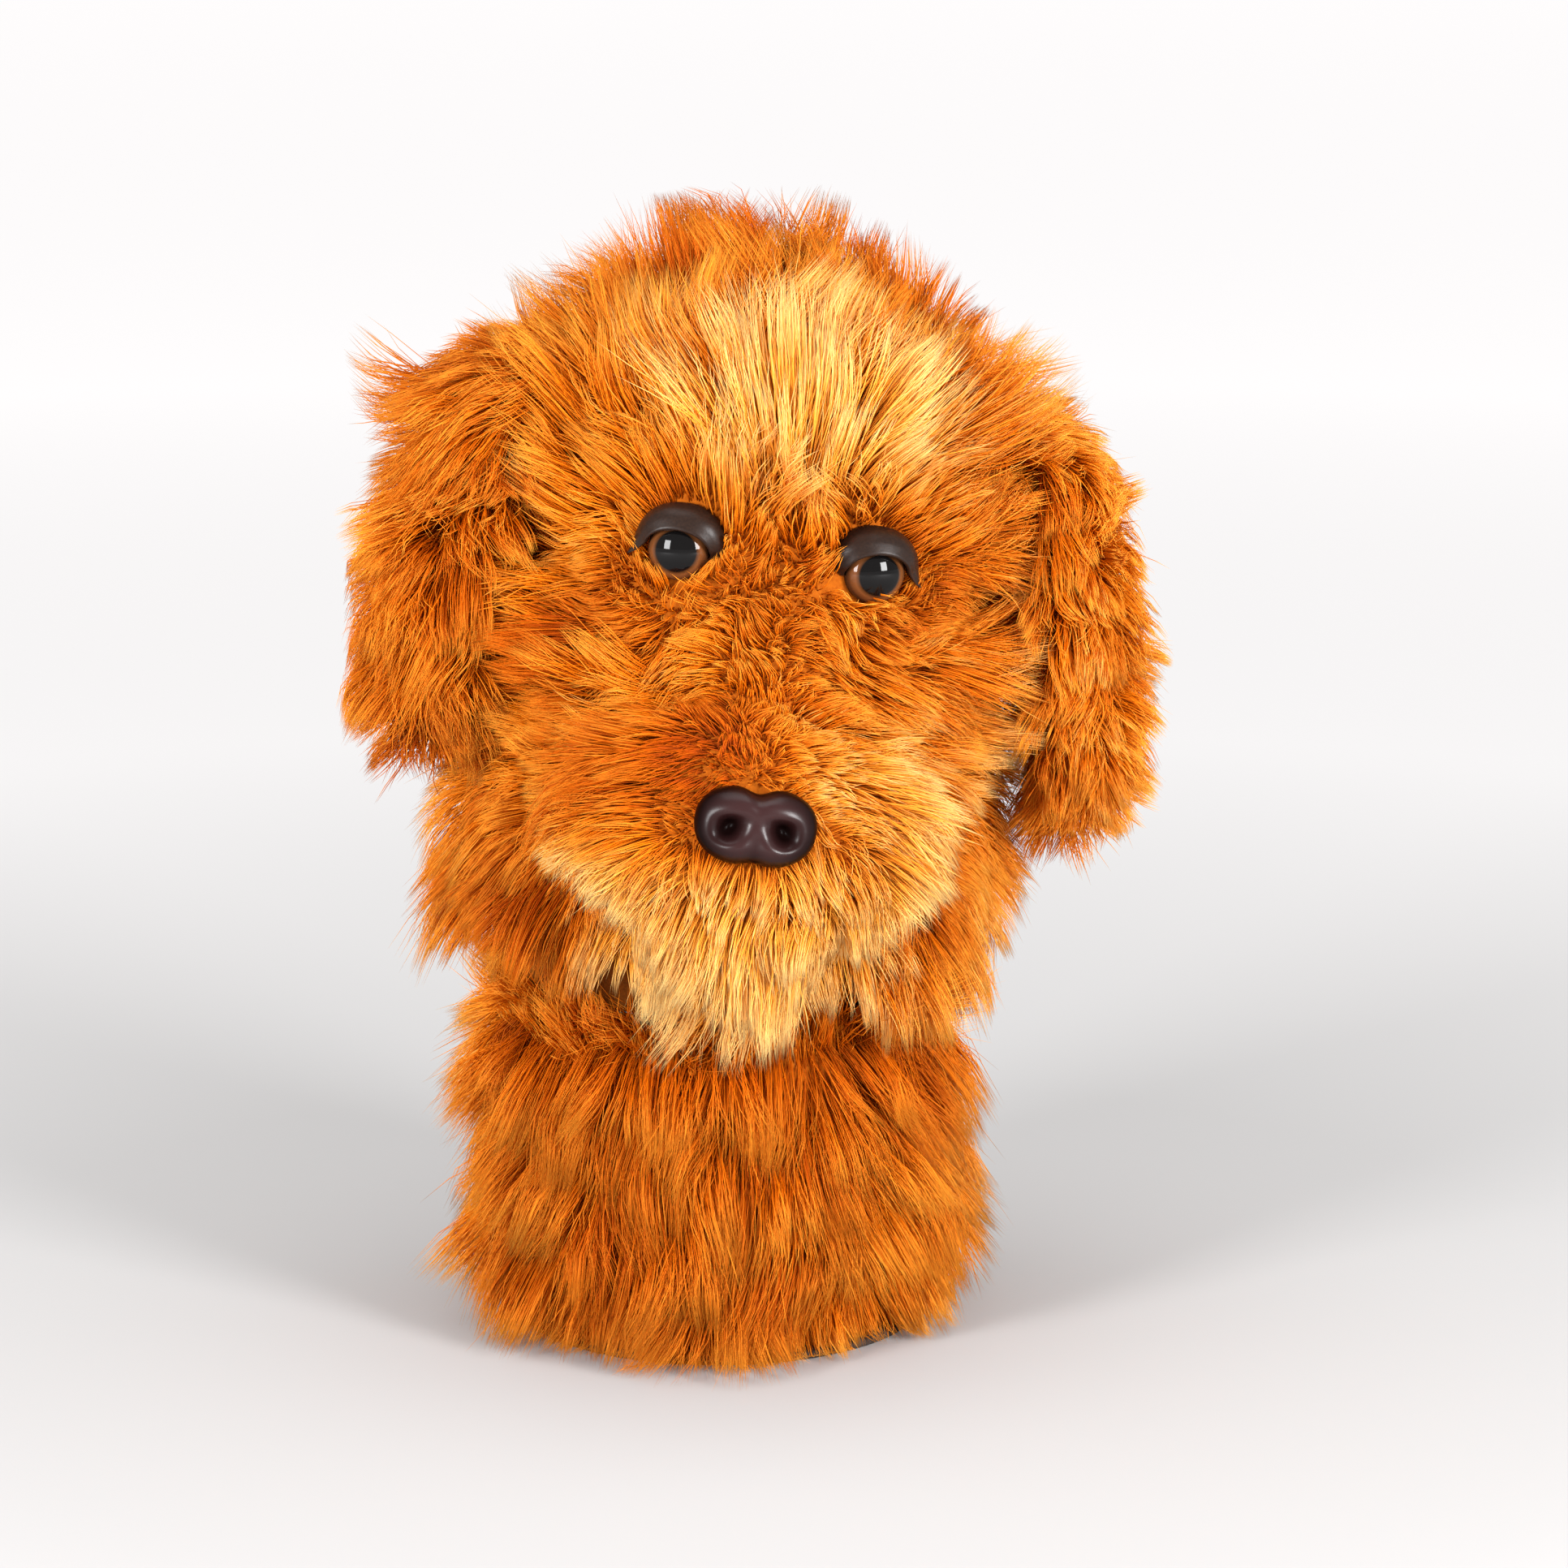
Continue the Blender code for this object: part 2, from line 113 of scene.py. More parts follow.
# Ears, in their hinge's frame: X outwards, Z up. Each runs out of the head over its hinge, and hangs.
EAR_HINGE = Vector((97, 4, 156))
EAR_FLARE = {-1: radians(4.5), 1: radians(12)}
EAR_LINE = [(-35, 1), (-24, 6), (-10, 6), (-1, -6), (2, -28), (3, -56), (1, -90), (-3, -120)]
EAR_ROOT_HALF, EAR_WIDE_HALF, EAR_WIDEST = 25, 37, 0.66
EAR_THICK = 6.5
EAR_CUP = 9

# Linings: the sock for the club's head, the padding round it, and the elastic round the shaft.
SOCK_IN, SOCK_OUT = 56.2, 57.4
PADDING_IN, PADDING_OUT, PADDING_SPLIT_Z = 58.4, 65.6, 134
LINING_TOP = 12.5
ELASTIC_Z = (FLOOR + 66, FLOOR + 88)

# Fur. A tuft is (spacing, how far its hairs' tips meet, spread of its direction, spread of its length).
HAIR_R = 0.22
HEAD_HAIRS, NECK_HAIRS, EAR_HAIRS = 88, 76, 82  # on each square centimetre
TUFTS = ((13.0, 0.50, 0.15, 0.15), (4.4, 0.44, 0.09, 0.07))
NECK_TUFTS = ((17.0, 0.46, 0.12, 0.09), (5.0, 0.42, 0.08, 0.06))
LOOSE_SHARE = 0.05  # of the hairs keep out of the tufts
TRIS_PER_PIECE = 185000

# View: its middle, how wide it is there, and where it is seen from.
VIEW_MIDDLE = Vector((pivot.x + 22 * MM, 0, 187 * MM))
VIEW_WIDTH, VIEW_DISTANCE, VIEW_ELEVATION = 522 * MM, 1.75, radians(12)
FLOOR_HALF, GLOW_REACH = 14, 10  # metres
FLOOR_GLOW = ((0.03, 0.05), (0.10, 0.42), (0.24, 0.66), (1.0, 0.73))  # (part of the reach, strength)
SOFTBOXES = (  # name, place, size in metres, watts
    ("key_left", (-1.20, -1.25, 0.60), (0.50, 0.66), 36),
    ("key_right", (1.22, -1.22, 0.60), (0.50, 0.66), 43),
    ("top", (0.0, 0.0, 1.8), (1.4, 1.1), 11),
)

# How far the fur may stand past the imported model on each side.
low_box, high_box = (np.array(corner) for corner in cad_box)
margin = 0.03 * (high_box - low_box) + 10 * MM
LOW_LIMIT, HIGH_LIMIT = low_box - margin, high_box + margin
LOW_LIMIT[2] = 1 * MM
SQUEEZE = 7 * MM  # of a hair's way to a limit


# ---- small helpers


def link(name, mesh):
    made = bpy.data.objects.new(name, mesh)
    bpy.context.scene.collection.objects.link(made)
    return made


def mesh_of(name, points, faces):
    """A smoothly shaded mesh with its normals outwards."""
    mesh = bpy.data.meshes.new(name)
    mesh.from_pydata([tuple(p) for p in points], [], [tuple(f) for f in faces])
    mesh.validate()
    bm = bmesh.new()
    bm.from_mesh(mesh)
    bmesh.ops.recalc_face_normals(bm, faces=bm.faces)
    bm.to_mesh(mesh)
    bm.free()
    mesh.shade_smooth()
    return mesh


def lathe(outline, turns=96, wave=None):
    """Points and faces of (radius, height) pairs turned about Z, closed where off the axis."""
    points, rings, faces = [], [], []
    for r, z in outline:
        if r < 1e-6:
            rings.append([len(points)])
            points.append((0, 0, z))
            continue
        rings.append(list(range(len(points), len(points) + turns)))
        for k in range(turns):
            a = 2 * pi * k / turns
            grown = r + (wave(a, z) if wave else 0)
            points.append((grown * cos(a), grown * sin(a), z))
    pairs = list(zip(rings, rings[1:]))
    if len(rings[0]) > 1:
        pairs.append((rings[-1], rings[0]))
    for one, two in pairs:
        for k in range(turns):
            n = (k + 1) % turns
            loop = [one[k % len(one)], one[n % len(one)], two[n % len(two)], two[k % len(two)]]
            faces.append(list(dict.fromkeys(loop)))
    return points, faces


def sphere_part(centre, half, around=64, up=40):
    """Points and faces of an ellipsoid."""
    outline = [(sin(pi * k / up), -cos(pi * k / up)) for k in range(up + 1)]
    points, faces = lathe([(max(r, 0), z) for r, z in outline], around)
    return [tuple(c + h * v for c, h, v in zip(centre, half, p)) for p in points], faces


def both(*parts):
    points, faces = [], []
    for some, loops in parts:
        faces += [[i + len(points) for i in loop] for loop in loops]
        points += some
    return points, faces


def ease(low, high, x):
    """0 up to low, 1 from high, and smooth between; it falls where low is the larger."""
    t = np.clip((np.asarray(x, float) - low) / (high - low), 0, 1)
    return t * t * (3 - 2 * t)


def unit(v):
    return v / np.maximum(np.linalg.norm(v, axis=-1, keepdims=True), 1e-9)


def apply_modifiers(obj):
    graph = bpy.context.evaluated_depsgraph_get()
    done = bpy.data.meshes.new_from_object(obj.evaluated_get(graph))
    old = obj.data
    obj.modifiers.clear()
    obj.data = done
    bpy.data.meshes.remove(old)
    done.shade_smooth()


def placed(obj, matrix):
    obj.data.transform(matrix)
    obj.data.update()
    return obj


def threes(items, name, kind):
    values = np.empty(len(items) * 3, kind)
    items.foreach_get(name, values)
    return values.reshape(-1, 3)


def corners(obj):
    """Corners of a mesh's triangles as an (n, 3, 3) array, and the normals there likewise."""
    mesh = obj.data
    mesh.calc_loop_triangles()
    tri = threes(mesh.loop_triangles, "vertices", np.int32)
    co, no = (threes(mesh.vertices, name, np.float32) for name in ("co", "normal"))
    return co[tri].astype(float), no[tri].astype(float)


# ---- materials


def set_inputs(node, **inputs):
    for key, value in inputs.items():
        node.inputs[key.replace("_", " ")].default_value = value
    return node


def add_node(nodes, kind, **inputs):
    return set_inputs(nodes.new("ShaderNode" + kind), **inputs)


def join(links, one, output, two, socket):
    links.new(one.outputs[output], two.inputs[socket])


def new_material(name, **inputs):
    """A material, its nodes and links, and its shader with those inputs."""
    made = bpy.data.materials.new(name)
    made.use_nodes = True
    nodes, links = made.node_tree.nodes, made.node_tree.links
    return made, nodes, links, set_inputs(nodes["Principled BSDF"], **inputs)


def ramp(nodes, stops):
    """A ramp of colours from (place, colour) pairs."""
    made = add_node(nodes, "ValToRGB")
    while len(made.color_ramp.elements) < len(stops):
        made.color_ramp.elements.new(0.5)
    for element, (at, colour) in zip(made.color_ramp.elements, stops):
        element.position = at
        element.color = (*colour, 1)
    return made


def fur_material():
    """Colour by the hair's tone and by how far along it is, both kept in the UV map."""
    made, nodes, links, shader = new_material("ginger_fur", Roughness=0.55, Specular_IOR_Level=0.07)
    uv = add_node(nodes, "UVMap")
    uv.uv_map = "OFBake"
    split = add_node(nodes, "SeparateXYZ")
    join(links, uv, "UV", split, 0)

    def by_tone(*colours):
        """The colour of a dark hair, a middling one and a pale one, and between them."""
        shades = ramp(nodes, list(zip((0, 0.5, 1), colours)))
        join(links, split, "X", shades, 0)
        return shades.outputs[0]

    def turning(below, above, start, end):
        """One colour that gives way to another between two places along the hair."""
        along = add_node(nodes, "MapRange", From_Min=start, From_Max=end)
        mix = add_node(nodes, "Mix")
        mix.data_type = "RGBA"
        join(links, split, "Y", along, "Value")
        join(links, along, 0, mix, "Factor")
        links.new(below, mix.inputs["A"])
        links.new(above, mix.inputs["B"])
        return mix.outputs["Result"]

    root = by_tone((0.20, 0.026, 0.0004), (0.40, 0.062, 0.001), (0.68, 0.19, 0.008))
    middle = by_tone((0.44, 0.060, 0.0006), (0.80, 0.19, 0.002), (0.94, 0.42, 0.045))
    tip = by_tone((0.68, 0.13, 0.001), (0.94, 0.39, 0.040), (0.98, 0.68, 0.27))
    shade = turning(turning(root, middle, 0.08, 0.50), tip, 0.52, 0.95)
    links.new(shade, shader.inputs["Base Color"])
    return made


def surface(name, dark, light, roughness, scale, bump=0.2, distance=0.3 * MM, **inputs):
    """A speckled surface: colour and bump from one noise, on top of the shader's own values."""
    made, nodes, links, shader = new_material(name, Roughness=roughness, **inputs)
    place = add_node(nodes, "TexCoord")
    noise = add_node(nodes, "TexNoise", Scale=scale, Detail=4)
    join(links, place, "Object", noise, "Vector")
    tint = ramp(nodes, [(0.3, dark), (0.7, light)])
    join(links, noise, "Fac", tint, 0)
    join(links, tint, 0, shader, "Base Color")
    if bump:
        relief = add_node(nodes, "Bump", Strength=bump, Distance=distance)
        join(links, noise, "Fac", relief, "Height")
        join(links, relief, 0, shader, "Normal")
    return made


def eye_material():
    """A tan iris round a black pupil, under a hard clear gloss."""
    made, nodes, links, shader = new_material("eye_gloss", Roughness=0.04, Specular_IOR_Level=0.21)
    rings = add_node(nodes, "Attribute")
    rings.attribute_name = "rings"
    dark, tan = (0.003, 0.0025, 0.0025), (0.15, 0.050, 0.015)
    stops = [(0, dark), (0.64, dark), (0.69, (0.07, 0.024, 0.007)), (0.77, tan)]
    stops += [(0.88, (0.12, 0.040, 0.012)), (0.95, (0.05, 0.018, 0.007)), (1.0, (0.006, 0.004, 0.003))]
    tint = ramp(nodes, stops)
    join(links, rings, "Fac", tint, 0)
    join(links, tint, 0, shader, "Base Color")
    return made


def nose_material():
    """Dark moulded plastic, glossier on its high parts, with painted shade in its nostrils and round its low
    edge and a painted highlight on its high parts.
    """
    made = surface("nose_gloss", (0.01,) * 3, (0.03,) * 3, 0.30, 1500, 0.12, 0.10 * MM)
    nodes, links = made.node_tree.nodes, made.node_tree.links
    high = add_node(nodes, "Attribute")
    high.attribute_name = "height"
    # Painted shade in the low parts and painted highlight on the high parts.
    tint = ramp(nodes, [(0.40, (0.004, 0.0014, 0.0013)), (0.95, (0.027, 0.0085, 0.0085))])
    gloss = ramp(nodes, [(0.45, (0.04,) * 3), (0.90, (0.27,) * 3)])
    for stops, socket in ((tint, "Base Color"), (gloss, "Specular IOR Level")):
        join(links, high, "Fac", stops, 0)
        links.new(stops.outputs[0], nodes["Principled BSDF"].inputs[socket])
    return made


def floor_material():
    """A pale floor that fades into white."""
    made, nodes, links, shader = new_material("pale_floor", Roughness=0.9, Specular_IOR_Level=0.0)
    set_inputs(shader, Base_Color=(0.50, 0.495, 0.495, 1), Emission_Color=(1, 0.98, 0.985, 1))
    place = add_node(nodes, "TexCoord")
    far = add_node(nodes, "VectorMath")
    far.operation = "LENGTH"
    glow = ramp(nodes, [(at, (strength,) * 3) for at, strength in FLOOR_GLOW])
    reach = add_node(nodes, "MapRange", From_Max=GLOW_REACH)
    join(links, place, "Object", far, 0)
    join(links, far, "Value", reach, "Value")
    join(links, reach, 0, glow, 0)
    join(links, glow, 0, shader, "Emission Strength")
    return made


FUR = fur_material()
SKIN = surface("fur_backing", (0.34, 0.070, 0.004), (0.46, 0.115, 0.007), 0.95, 900, Specular_IOR_Level=0.05)
KNIT = surface("knit_lining", (0.030, 0.018, 0.012), (0.075, 0.045, 0.030), 0.85, 1600, 0.5)
BAND = surface(
    "band_knit", (0.16, 0.040, 0.004), (0.26, 0.070, 0.007), 0.9, 1600, 0.5, Specular_IOR_Level=0.1
)
FILLING = surface("filling", (0.62, 0.60, 0.56), (0.86, 0.84, 0.80), 0.95, 260, 0.6, 1.2 * MM)
ELASTIC = surface("elastic", (0.55, 0.54, 0.50), (0.78, 0.77, 0.73), 0.6, 700, 0.4)
LID = surface(
    "lid_satin", (0.012, 0.0055, 0.0036), (0.022, 0.0105, 0.0065), 0.36, 1400, 0.2, 0.12 * MM,
    Specular_IOR_Level=0.22,
)
EYE = eye_material()
NOSE = nose_material()
THREAD = surface("thread", (0.10, 0.05, 0.02), (0.16, 0.08, 0.035), 0.6, 900, 0.2)
WASHER = surface("washer", (0.60, 0.60, 0.58), (0.74, 0.74, 0.72), 0.5, 300, 0.1)


def dress(obj, look, slot_name, *nodes):
    """Give a piece its material and hide the CAD nodes that it stands for; slot_name is not used."""
    obj.data.materials.clear()
    obj.data.materials.append(look)
    if nodes:
        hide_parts(*nodes)


# ---- camera, light, floor


def point_at(obj, place, target):
    obj.location = place
    obj.rotation_euler = (target - place).to_track_quat("-Z", "Y").to_euler()
    bpy.context.scene.collection.objects.link(obj)


def add_camera():
    scene = bpy.context.scene
    data = bpy.data.cameras.new("camera")
    data.sensor_width = 36
    data.lens = data.sensor_width * VIEW_DISTANCE / VIEW_WIDTH
    data.clip_end = 30
    camera = bpy.data.objects.new("camera", data)
    towards = Vector((0, -cos(VIEW_ELEVATION), sin(VIEW_ELEVATION)))
    point_at(camera, VIEW_MIDDLE + VIEW_DISTANCE * towards, VIEW_MIDDLE)
    scene.camera = camera
    scene.view_settings.view_transform = "Standard"


def add_softbox(name, place, size, power):
    lamp = bpy.data.lights.new(name, "AREA")
    lamp.shape = "RECTANGLE"
    lamp.size, lamp.size_y = size
    lamp.energy = power
    point_at(bpy.data.objects.new(name, lamp), Vector(place), Vector((0, 0, 0.2)))


def add_surroundings():
    """A white room that looks brighter to the camera than it lights."""
    world = bpy.data.worlds.new("studio")
    world.use_nodes = True
    nodes, links = world.node_tree.nodes, world.node_tree.links
    fill = set_inputs(nodes["Background"], Color=(1.0, 0.99, 0.98, 1), Strength=0.58)
    seen = add_node(nodes, "Background", Color=(0.965, 0.945, 0.952, 1))
    path = add_node(nodes, "LightPath")
    choice = add_node(nodes, "MixShader")
    join(links, path, "Is Camera Ray", choice, 0)
    join(links, fill, 0, choice, 1)
    join(links, seen, 0, choice, 2)
    links.new(choice.outputs[0], nodes["World Output"].inputs[0])
    bpy.context.scene.world = world


def add_floor():
    square = [(x * FLOOR_HALF, y * FLOOR_HALF, 0) for x, y in ((-1, -1), (1, -1), (1, 1), (-1, 1))]
    floor = link("floor", mesh_of("floor", square, [(0, 1, 2, 3)]))
    floor.data.materials.append(floor_material())


# ---- skins under the fur


def head_outline(steps=24):
    """The skull's cloth from its rim up to its crown, wider where it runs over the neck."""
    high = SKULL_TOP_Z - SKULL_MID_Z
    low = [(0, RIM_Z - 14), (RIM_R, RIM_Z - 14), (RIM_R, RIM_Z), (RIM_R - 1, 8)]
    low += [(74.5, 32), (71.5, 60), (SKULL_R, 92)]
    angles = [pi / 2 * k / steps for k in range(steps)]
    return low + [(SKULL_R * cos(a), SKULL_MID_Z + high * sin(a)) for a in angles] + [(0, SKULL_TOP_Z)]


def build_head_skin():
    """Skull and muzzle joined in one soft surface, open below."""
    parts = both(lathe(head_outline()), sphere_part(MUZZLE_AT, MUZZLE_HALF))
    obj = link("head_skin", mesh_of("head_skin", *parts))
    union = obj.modifiers.new("union", "REMESH")
    union.mode, union.voxel_size = "VOXEL", 2.6
    soften = obj.modifiers.new("soften", "SMOOTH")
    soften.factor, soften.iterations = 0.5, 10
    apply_modifiers(obj)
    bm = bmesh.new()
    bm.from_mesh(obj.data)
    everything = bm.verts[:] + bm.edges[:] + bm.faces[:]
    bmesh.ops.bisect_plane(
        bm, geom=everything, dist=1e-4, plane_co=(0, 0, RIM_Z), plane_no=(0, 0, -1), clear_outer=True
    )
    bm.to_mesh(obj.data)
    bm.free()
    return obj


def thicken(obj, thick):
    wall = obj.modifiers.new("cloth", "SOLIDIFY")
    wall.thickness, wall.offset, wall.use_rim = thick, -1, True
    apply_modifiers(obj)


def neck_folds(a, z):
    """How far the sleeve's soft folds stand out."""
    return 0.9 * sin(5 * a + z * 0.03) + 0.6 * sin(9 * a - z * 0.05 + 1)


def build_neck_skin():
    """The sleeve's cloth, from its hem up to the shoulder below the head's rim."""
    low = FLOOR + 3.6
    outer = [(NECK_R - 5, low), (NECK_R - 1, low + 6), (NECK_R, low + 20)]
    outer += [(NECK_R, z) for z in range(-110, -49, 10)]
    outer += [(NECK_R - 0.5, -42), (NECK_R - 2, -36), (NECK_R - 3, -32.6)]
    inner = [(NECK_R - NECK_CLOTH, z) for _, z in outer[::-1]]
    points, faces = lathe(outer + inner, 120, neck_folds)
    return link("neck_skin", mesh_of("neck_skin", points, faces))


def ear_frame(side):
    """From the ear's own frame, with X outwards and Z up, to the world."""
    place = Vector((side * EAR_HINGE.x, EAR_HINGE.y, EAR_HINGE.z))
    flare = Matrix.Rotation(-side * EAR_FLARE[side], 4, "Y")
    facing = Matrix.Scale(-1, 4, (1, 0, 0)) if side < 0 else Matrix.Identity(4)
    return HEAD @ Matrix.Translation(place) @ flare @ facing


def curve_through(stops, count):
    """Evenly spaced points on a smooth curve through stops, and their directions."""
    stops = np.array([stops[0]] + stops + [stops[-1]], float)
    t = np.linspace(0, 1, 30, endpoint=False)[:, None]
    fine = []
    for a, b, c, d in zip(stops, stops[1:], stops[2:], stops[3:]):
        square, cube = 2 * a - 5 * b + 4 * c - d, 3 * b - a - 3 * c + d
        fine.append(0.5 * (2 * b + (c - a) * t + square * t**2 + cube * t**3))
    fine = np.concatenate(fine + [stops[-1:]])
    run = np.concatenate(((0,), np.cumsum(np.linalg.norm(np.diff(fine, axis=0), axis=1))))
    even = np.linspace(0, run[-1], count)
    line = np.stack([np.interp(even, run, fine[:, k]) for k in range(2)], 1)
    return line, unit(np.gradient(line, axis=0))


def build_ear_skin(name, rows=54, columns=26):
    """A soft lens of two panels, following the ear's line and cupped to the head."""
    line, along = curve_through(EAR_LINE, rows + 1)
    points, faces = [], []
    for face in (1, -1):
        for i in range(rows + 1):
            u = i / rows
            if u < EAR_WIDEST:
                half = EAR_ROOT_HALF + (EAR_WIDE_HALF - EAR_ROOT_HALF) * sin(pi / 2 * u / EAR_WIDEST)
            else:
                half = EAR_WIDE_HALF * sqrt(1 - 0.975 * ((u - EAR_WIDEST) / (1 - EAR_WIDEST)) ** 2.4)
            (x, z), (dx, dz) = line[i], along[i]
            end = min(1, 0.35 + 6 * u) * sqrt(max(1 - u**16, 0.02))
            for j in range(columns + 1):
                v = 2 * j / columns - 1
                off = face * (0.4 + EAR_THICK * sqrt(max(1 - v * v, 0)) * end)
                off -= EAR_CUP * v * v * ease(0.12, 0.4, u)
                points.append((x - dz * off, v * half, z + dx * off))
    wide = columns + 1
    back = (rows + 1) * wide
    for i in range(rows):
        for j in range(columns):
            a = i * wide + j
            faces.append((a, a + 1, a + 1 + wide, a + wide))
            faces.append((back + a, back + a + wide, back + a + 1 + wide, back + a + 1))
    edge = list(range(wide)) + [i * wide + columns for i in range(1, rows + 1)]
    edge += [rows * wide + j for j in range(columns - 1, -1, -1)] + [i * wide for i in range(rows - 1, 0, -1)]
    for a, b in zip(edge, edge[1:] + edge[:1]):
        faces.append((a, b, back + b, back + a))
    return link(name, mesh_of(name, points, faces))


# ---- fur


class Waves:
    """A smooth random vector field: a few sine waves with fixed random directions."""

    def __init__(self, rng, wavelength, count=7):
        self.k = unit(rng.normal(size=(count, 3))) * (2 * pi / wavelength)
        self.k *= rng.uniform(0.7, 1.4, (count, 1))
        self.phase = rng.uniform(0, 2 * pi, (count, 3))
        self.count = count

    def at(self, p):
        angle = p @ self.k.T
        return np.sin(angle[:, :, None] + self.phase[None]).sum(1) / sqrt(self.count)


def scatter(obj, rng, per_cm2, keep):
    """Roots and outward normals spread evenly over a skin, where keep allows them."""
    tri, normals = corners(obj)
    area = np.linalg.norm(np.cross(tri[:, 1] - tri[:, 0], tri[:, 2] - tri[:, 0]), axis=1) / 2
    count = int(area.sum() / 100 * per_cm2)
    pick = rng.choice(len(area), count, p=area / area.sum())
    w = rng.dirichlet((1, 1, 1), count)
    p = (tri[pick] * w[:, :, None]).sum(1)
    n = unit((normals[pick] * w[:, :, None]).sum(1))
    good = keep(p, n)
    return p[good], n[good]


def nearest(points, targets):
    """For each point, the index of the target nearest to it."""
    tree = kdtree.KDTree(len(targets))
    for i, t in enumerate(targets):
        tree.insert(t, i)
    tree.balance()
    return np.array([tree.find(p)[1] for p in points])


def thin_out(p, spacing, rng):
    """Indices of points kept one to a cell of a shifted grid, as the middles of tufts."""
    cell = np.floor((p + rng.uniform(0, spacing, 3)) / spacing).astype(int)
    order = rng.permutation(len(p))
    _, first = np.unique(cell[order], axis=0, return_index=True)
    return order[np.sort(first)]


def grow(p, n, comb, length, lift, fall, rng, steps=4, tufts=TUFTS):
    """Paths of hairs as (count, steps + 1, 3), each from its root p along comb, lifted off the skin.

    Each path runs from d0 at its root to d1 at its tip. Also returns a random number from 0 to 1 for
    each hair, shared by its large tuft.
    """
    count = len(p)
    length, lift, fall = (np.broadcast_to(value, count) for value in (length, lift, fall))
    t = np.linspace(0, 1, steps + 1)[None, :, None]
    flat = unit(comb - n * (comb * n).sum(1, keepdims=True))
    stray = rng.normal(size=(count, 3)) * 0.075
    grown = rng.uniform(0.84, 1.06, count)
    owners = []
    for spacing, _, turn, stretch in tufts:
        seeds = thin_out(p, spacing, rng)
        owner = nearest(p + rng.normal(size=p.shape) * spacing * 0.13, p[seeds])
        owners.append(seeds[owner])
        stray += (rng.normal(size=(len(seeds), 3)) * turn)[owner]
        grown *= (1 + rng.normal(size=len(seeds)) * stretch).clip(0.6, 1.3)[owner]
        if spacing == tufts[0][0]:
            shared, bend = rng.random(len(seeds))[owner], rng.uniform(0, 2 * pi, len(seeds))[owner]
    up = lift[:, None]
    d0 = unit(flat * (1 - up) + n * (up + 0.25) + stray)
    d1 = unit(flat * (1.15 - up) + n * up * 0.75 + stray * 1.4 - np.array((0, 0, 1)) * fall[:, None])
    long = (length * grown)[:, None, None]
    path = p[:, None] + long * (d0[:, None] * (t - 0.5 * t**2) + d1[:, None] * 0.5 * t**2)
    side = unit(np.cross(flat, n))[:, None]
    own = rng.uniform(0, 2 * pi, (count, 1, 1))
    path += side * long * t * (0.055 * np.sin(bend[:, None, None] + 3.6 * t) + 0.02 * np.sin(own + 6 * t))
    free = rng.random(count) < LOOSE_SHARE
    for owner, (_, strength, _, _) in zip(owners, tufts):
        pull = strength * t**1.3 * np.where(free, 0.15, 1.0)[:, None, None]
        path = path * (1 - pull) + path[owner] * pull
    return path, shared


def hair_faces(rings):
    """Corners and sizes of the faces of one hair: its root's end, its sides, and its tip."""
    faces = [(0, 2, 1)]
    for k in range(0, 3 * rings - 3, 3):
        faces += [(k + j, k + (j + 1) % 3, k + 3 + (j + 1) % 3, k + 3 + j) for j in range(3)]
    last = 3 * (rings - 1)
    faces += [(last + j, last + (j + 1) % 3, last + 3) for j in range(3)]
    return np.concatenate(faces), np.array([len(face) for face in faces])


def hair_mesh(name, path, tone, thick):
    """One closed three-sided tapering tube for each path, with its tone and course in the UV map."""
    count, rings = path.shape[0], path.shape[1] - 1
    along = unit(path[:, -1] - path[:, 0])
    odd = np.where(np.abs(along[:, 2:3]) < 0.8, (0.0, 0.0, 1.0), (1.0, 0.0, 0.0))
    one = unit(np.cross(along, odd))
    two = np.cross(along, one)
    t = np.arange(rings) / rings
    radius = thick[:, None] * (1 - 0.60 * t**1.5)[None]
    angle = 2 * pi * np.arange(3) / 3
    spoke = one[:, None] * np.cos(angle)[None, :, None] + two[:, None] * np.sin(angle)[None, :, None]
    ring = path[:, :rings, None] + radius[:, :, None, None] * spoke[:, None]
    points = np.concatenate((ring.reshape(count, rings * 3, 3), path[:, -1:]), axis=1)
    per = rings * 3 + 1

    loops, sizes = hair_faces(rings)
    index = (np.arange(count)[:, None] * per + loops[None]).ravel().astype(np.int32)
    starts = np.concatenate(((0,), np.cumsum(sizes)[:-1]))
    starts = (np.arange(count)[:, None] * len(loops) + starts[None]).ravel().astype(np.int32)

    u_side = np.concatenate((np.tile((-1, 0, 1), rings), (0,))) * 0.0015
    uv = np.empty((count, per, 2), np.float32)
    uv[:, :, 0] = np.clip(tone, 0.004, 0.996)[:, None] + u_side[None]
    uv[:, :, 1] = 0.004 + 0.992 * np.concatenate((np.repeat(t, 3), (1.0,)))[None]

    mesh = bpy.data.meshes.new(name)
    mesh.vertices.add(count * per)
    mesh.vertices.foreach_set("co", points.astype(np.float32).ravel())
    mesh.loops.add(len(index))
    mesh.loops.foreach_set("vertex_index", index)
    mesh.polygons.add(count * len(sizes))
    mesh.polygons.foreach_set("loop_start", starts)
    mesh.update(calc_edges=True)
    layer = mesh.uv_layers.new(name="OFBake")
    layer.data.foreach_set("uv", uv.reshape(-1, 2)[index].ravel())
    mesh.shade_smooth()
    return mesh


def contain(path, matrix):
    """Ease hairs in from the size limits, by squeezing each one's last stretch before a limit."""
    turn, move = np.array(matrix)[:3, :3], np.array(matrix)[:3, 3]
    world = path @ turn.T + move
    over = np.maximum(world - (HIGH_LIMIT - SQUEEZE), 0)
    under = np.maximum(LOW_LIMIT + SQUEEZE - world, 0)
    under[..., 2] = 0
    world += over * (SQUEEZE / (SQUEEZE + over) - 1) - under * (SQUEEZE / (SQUEEZE + under) - 1)
    return (world - move) @ np.linalg.inv(turn).T


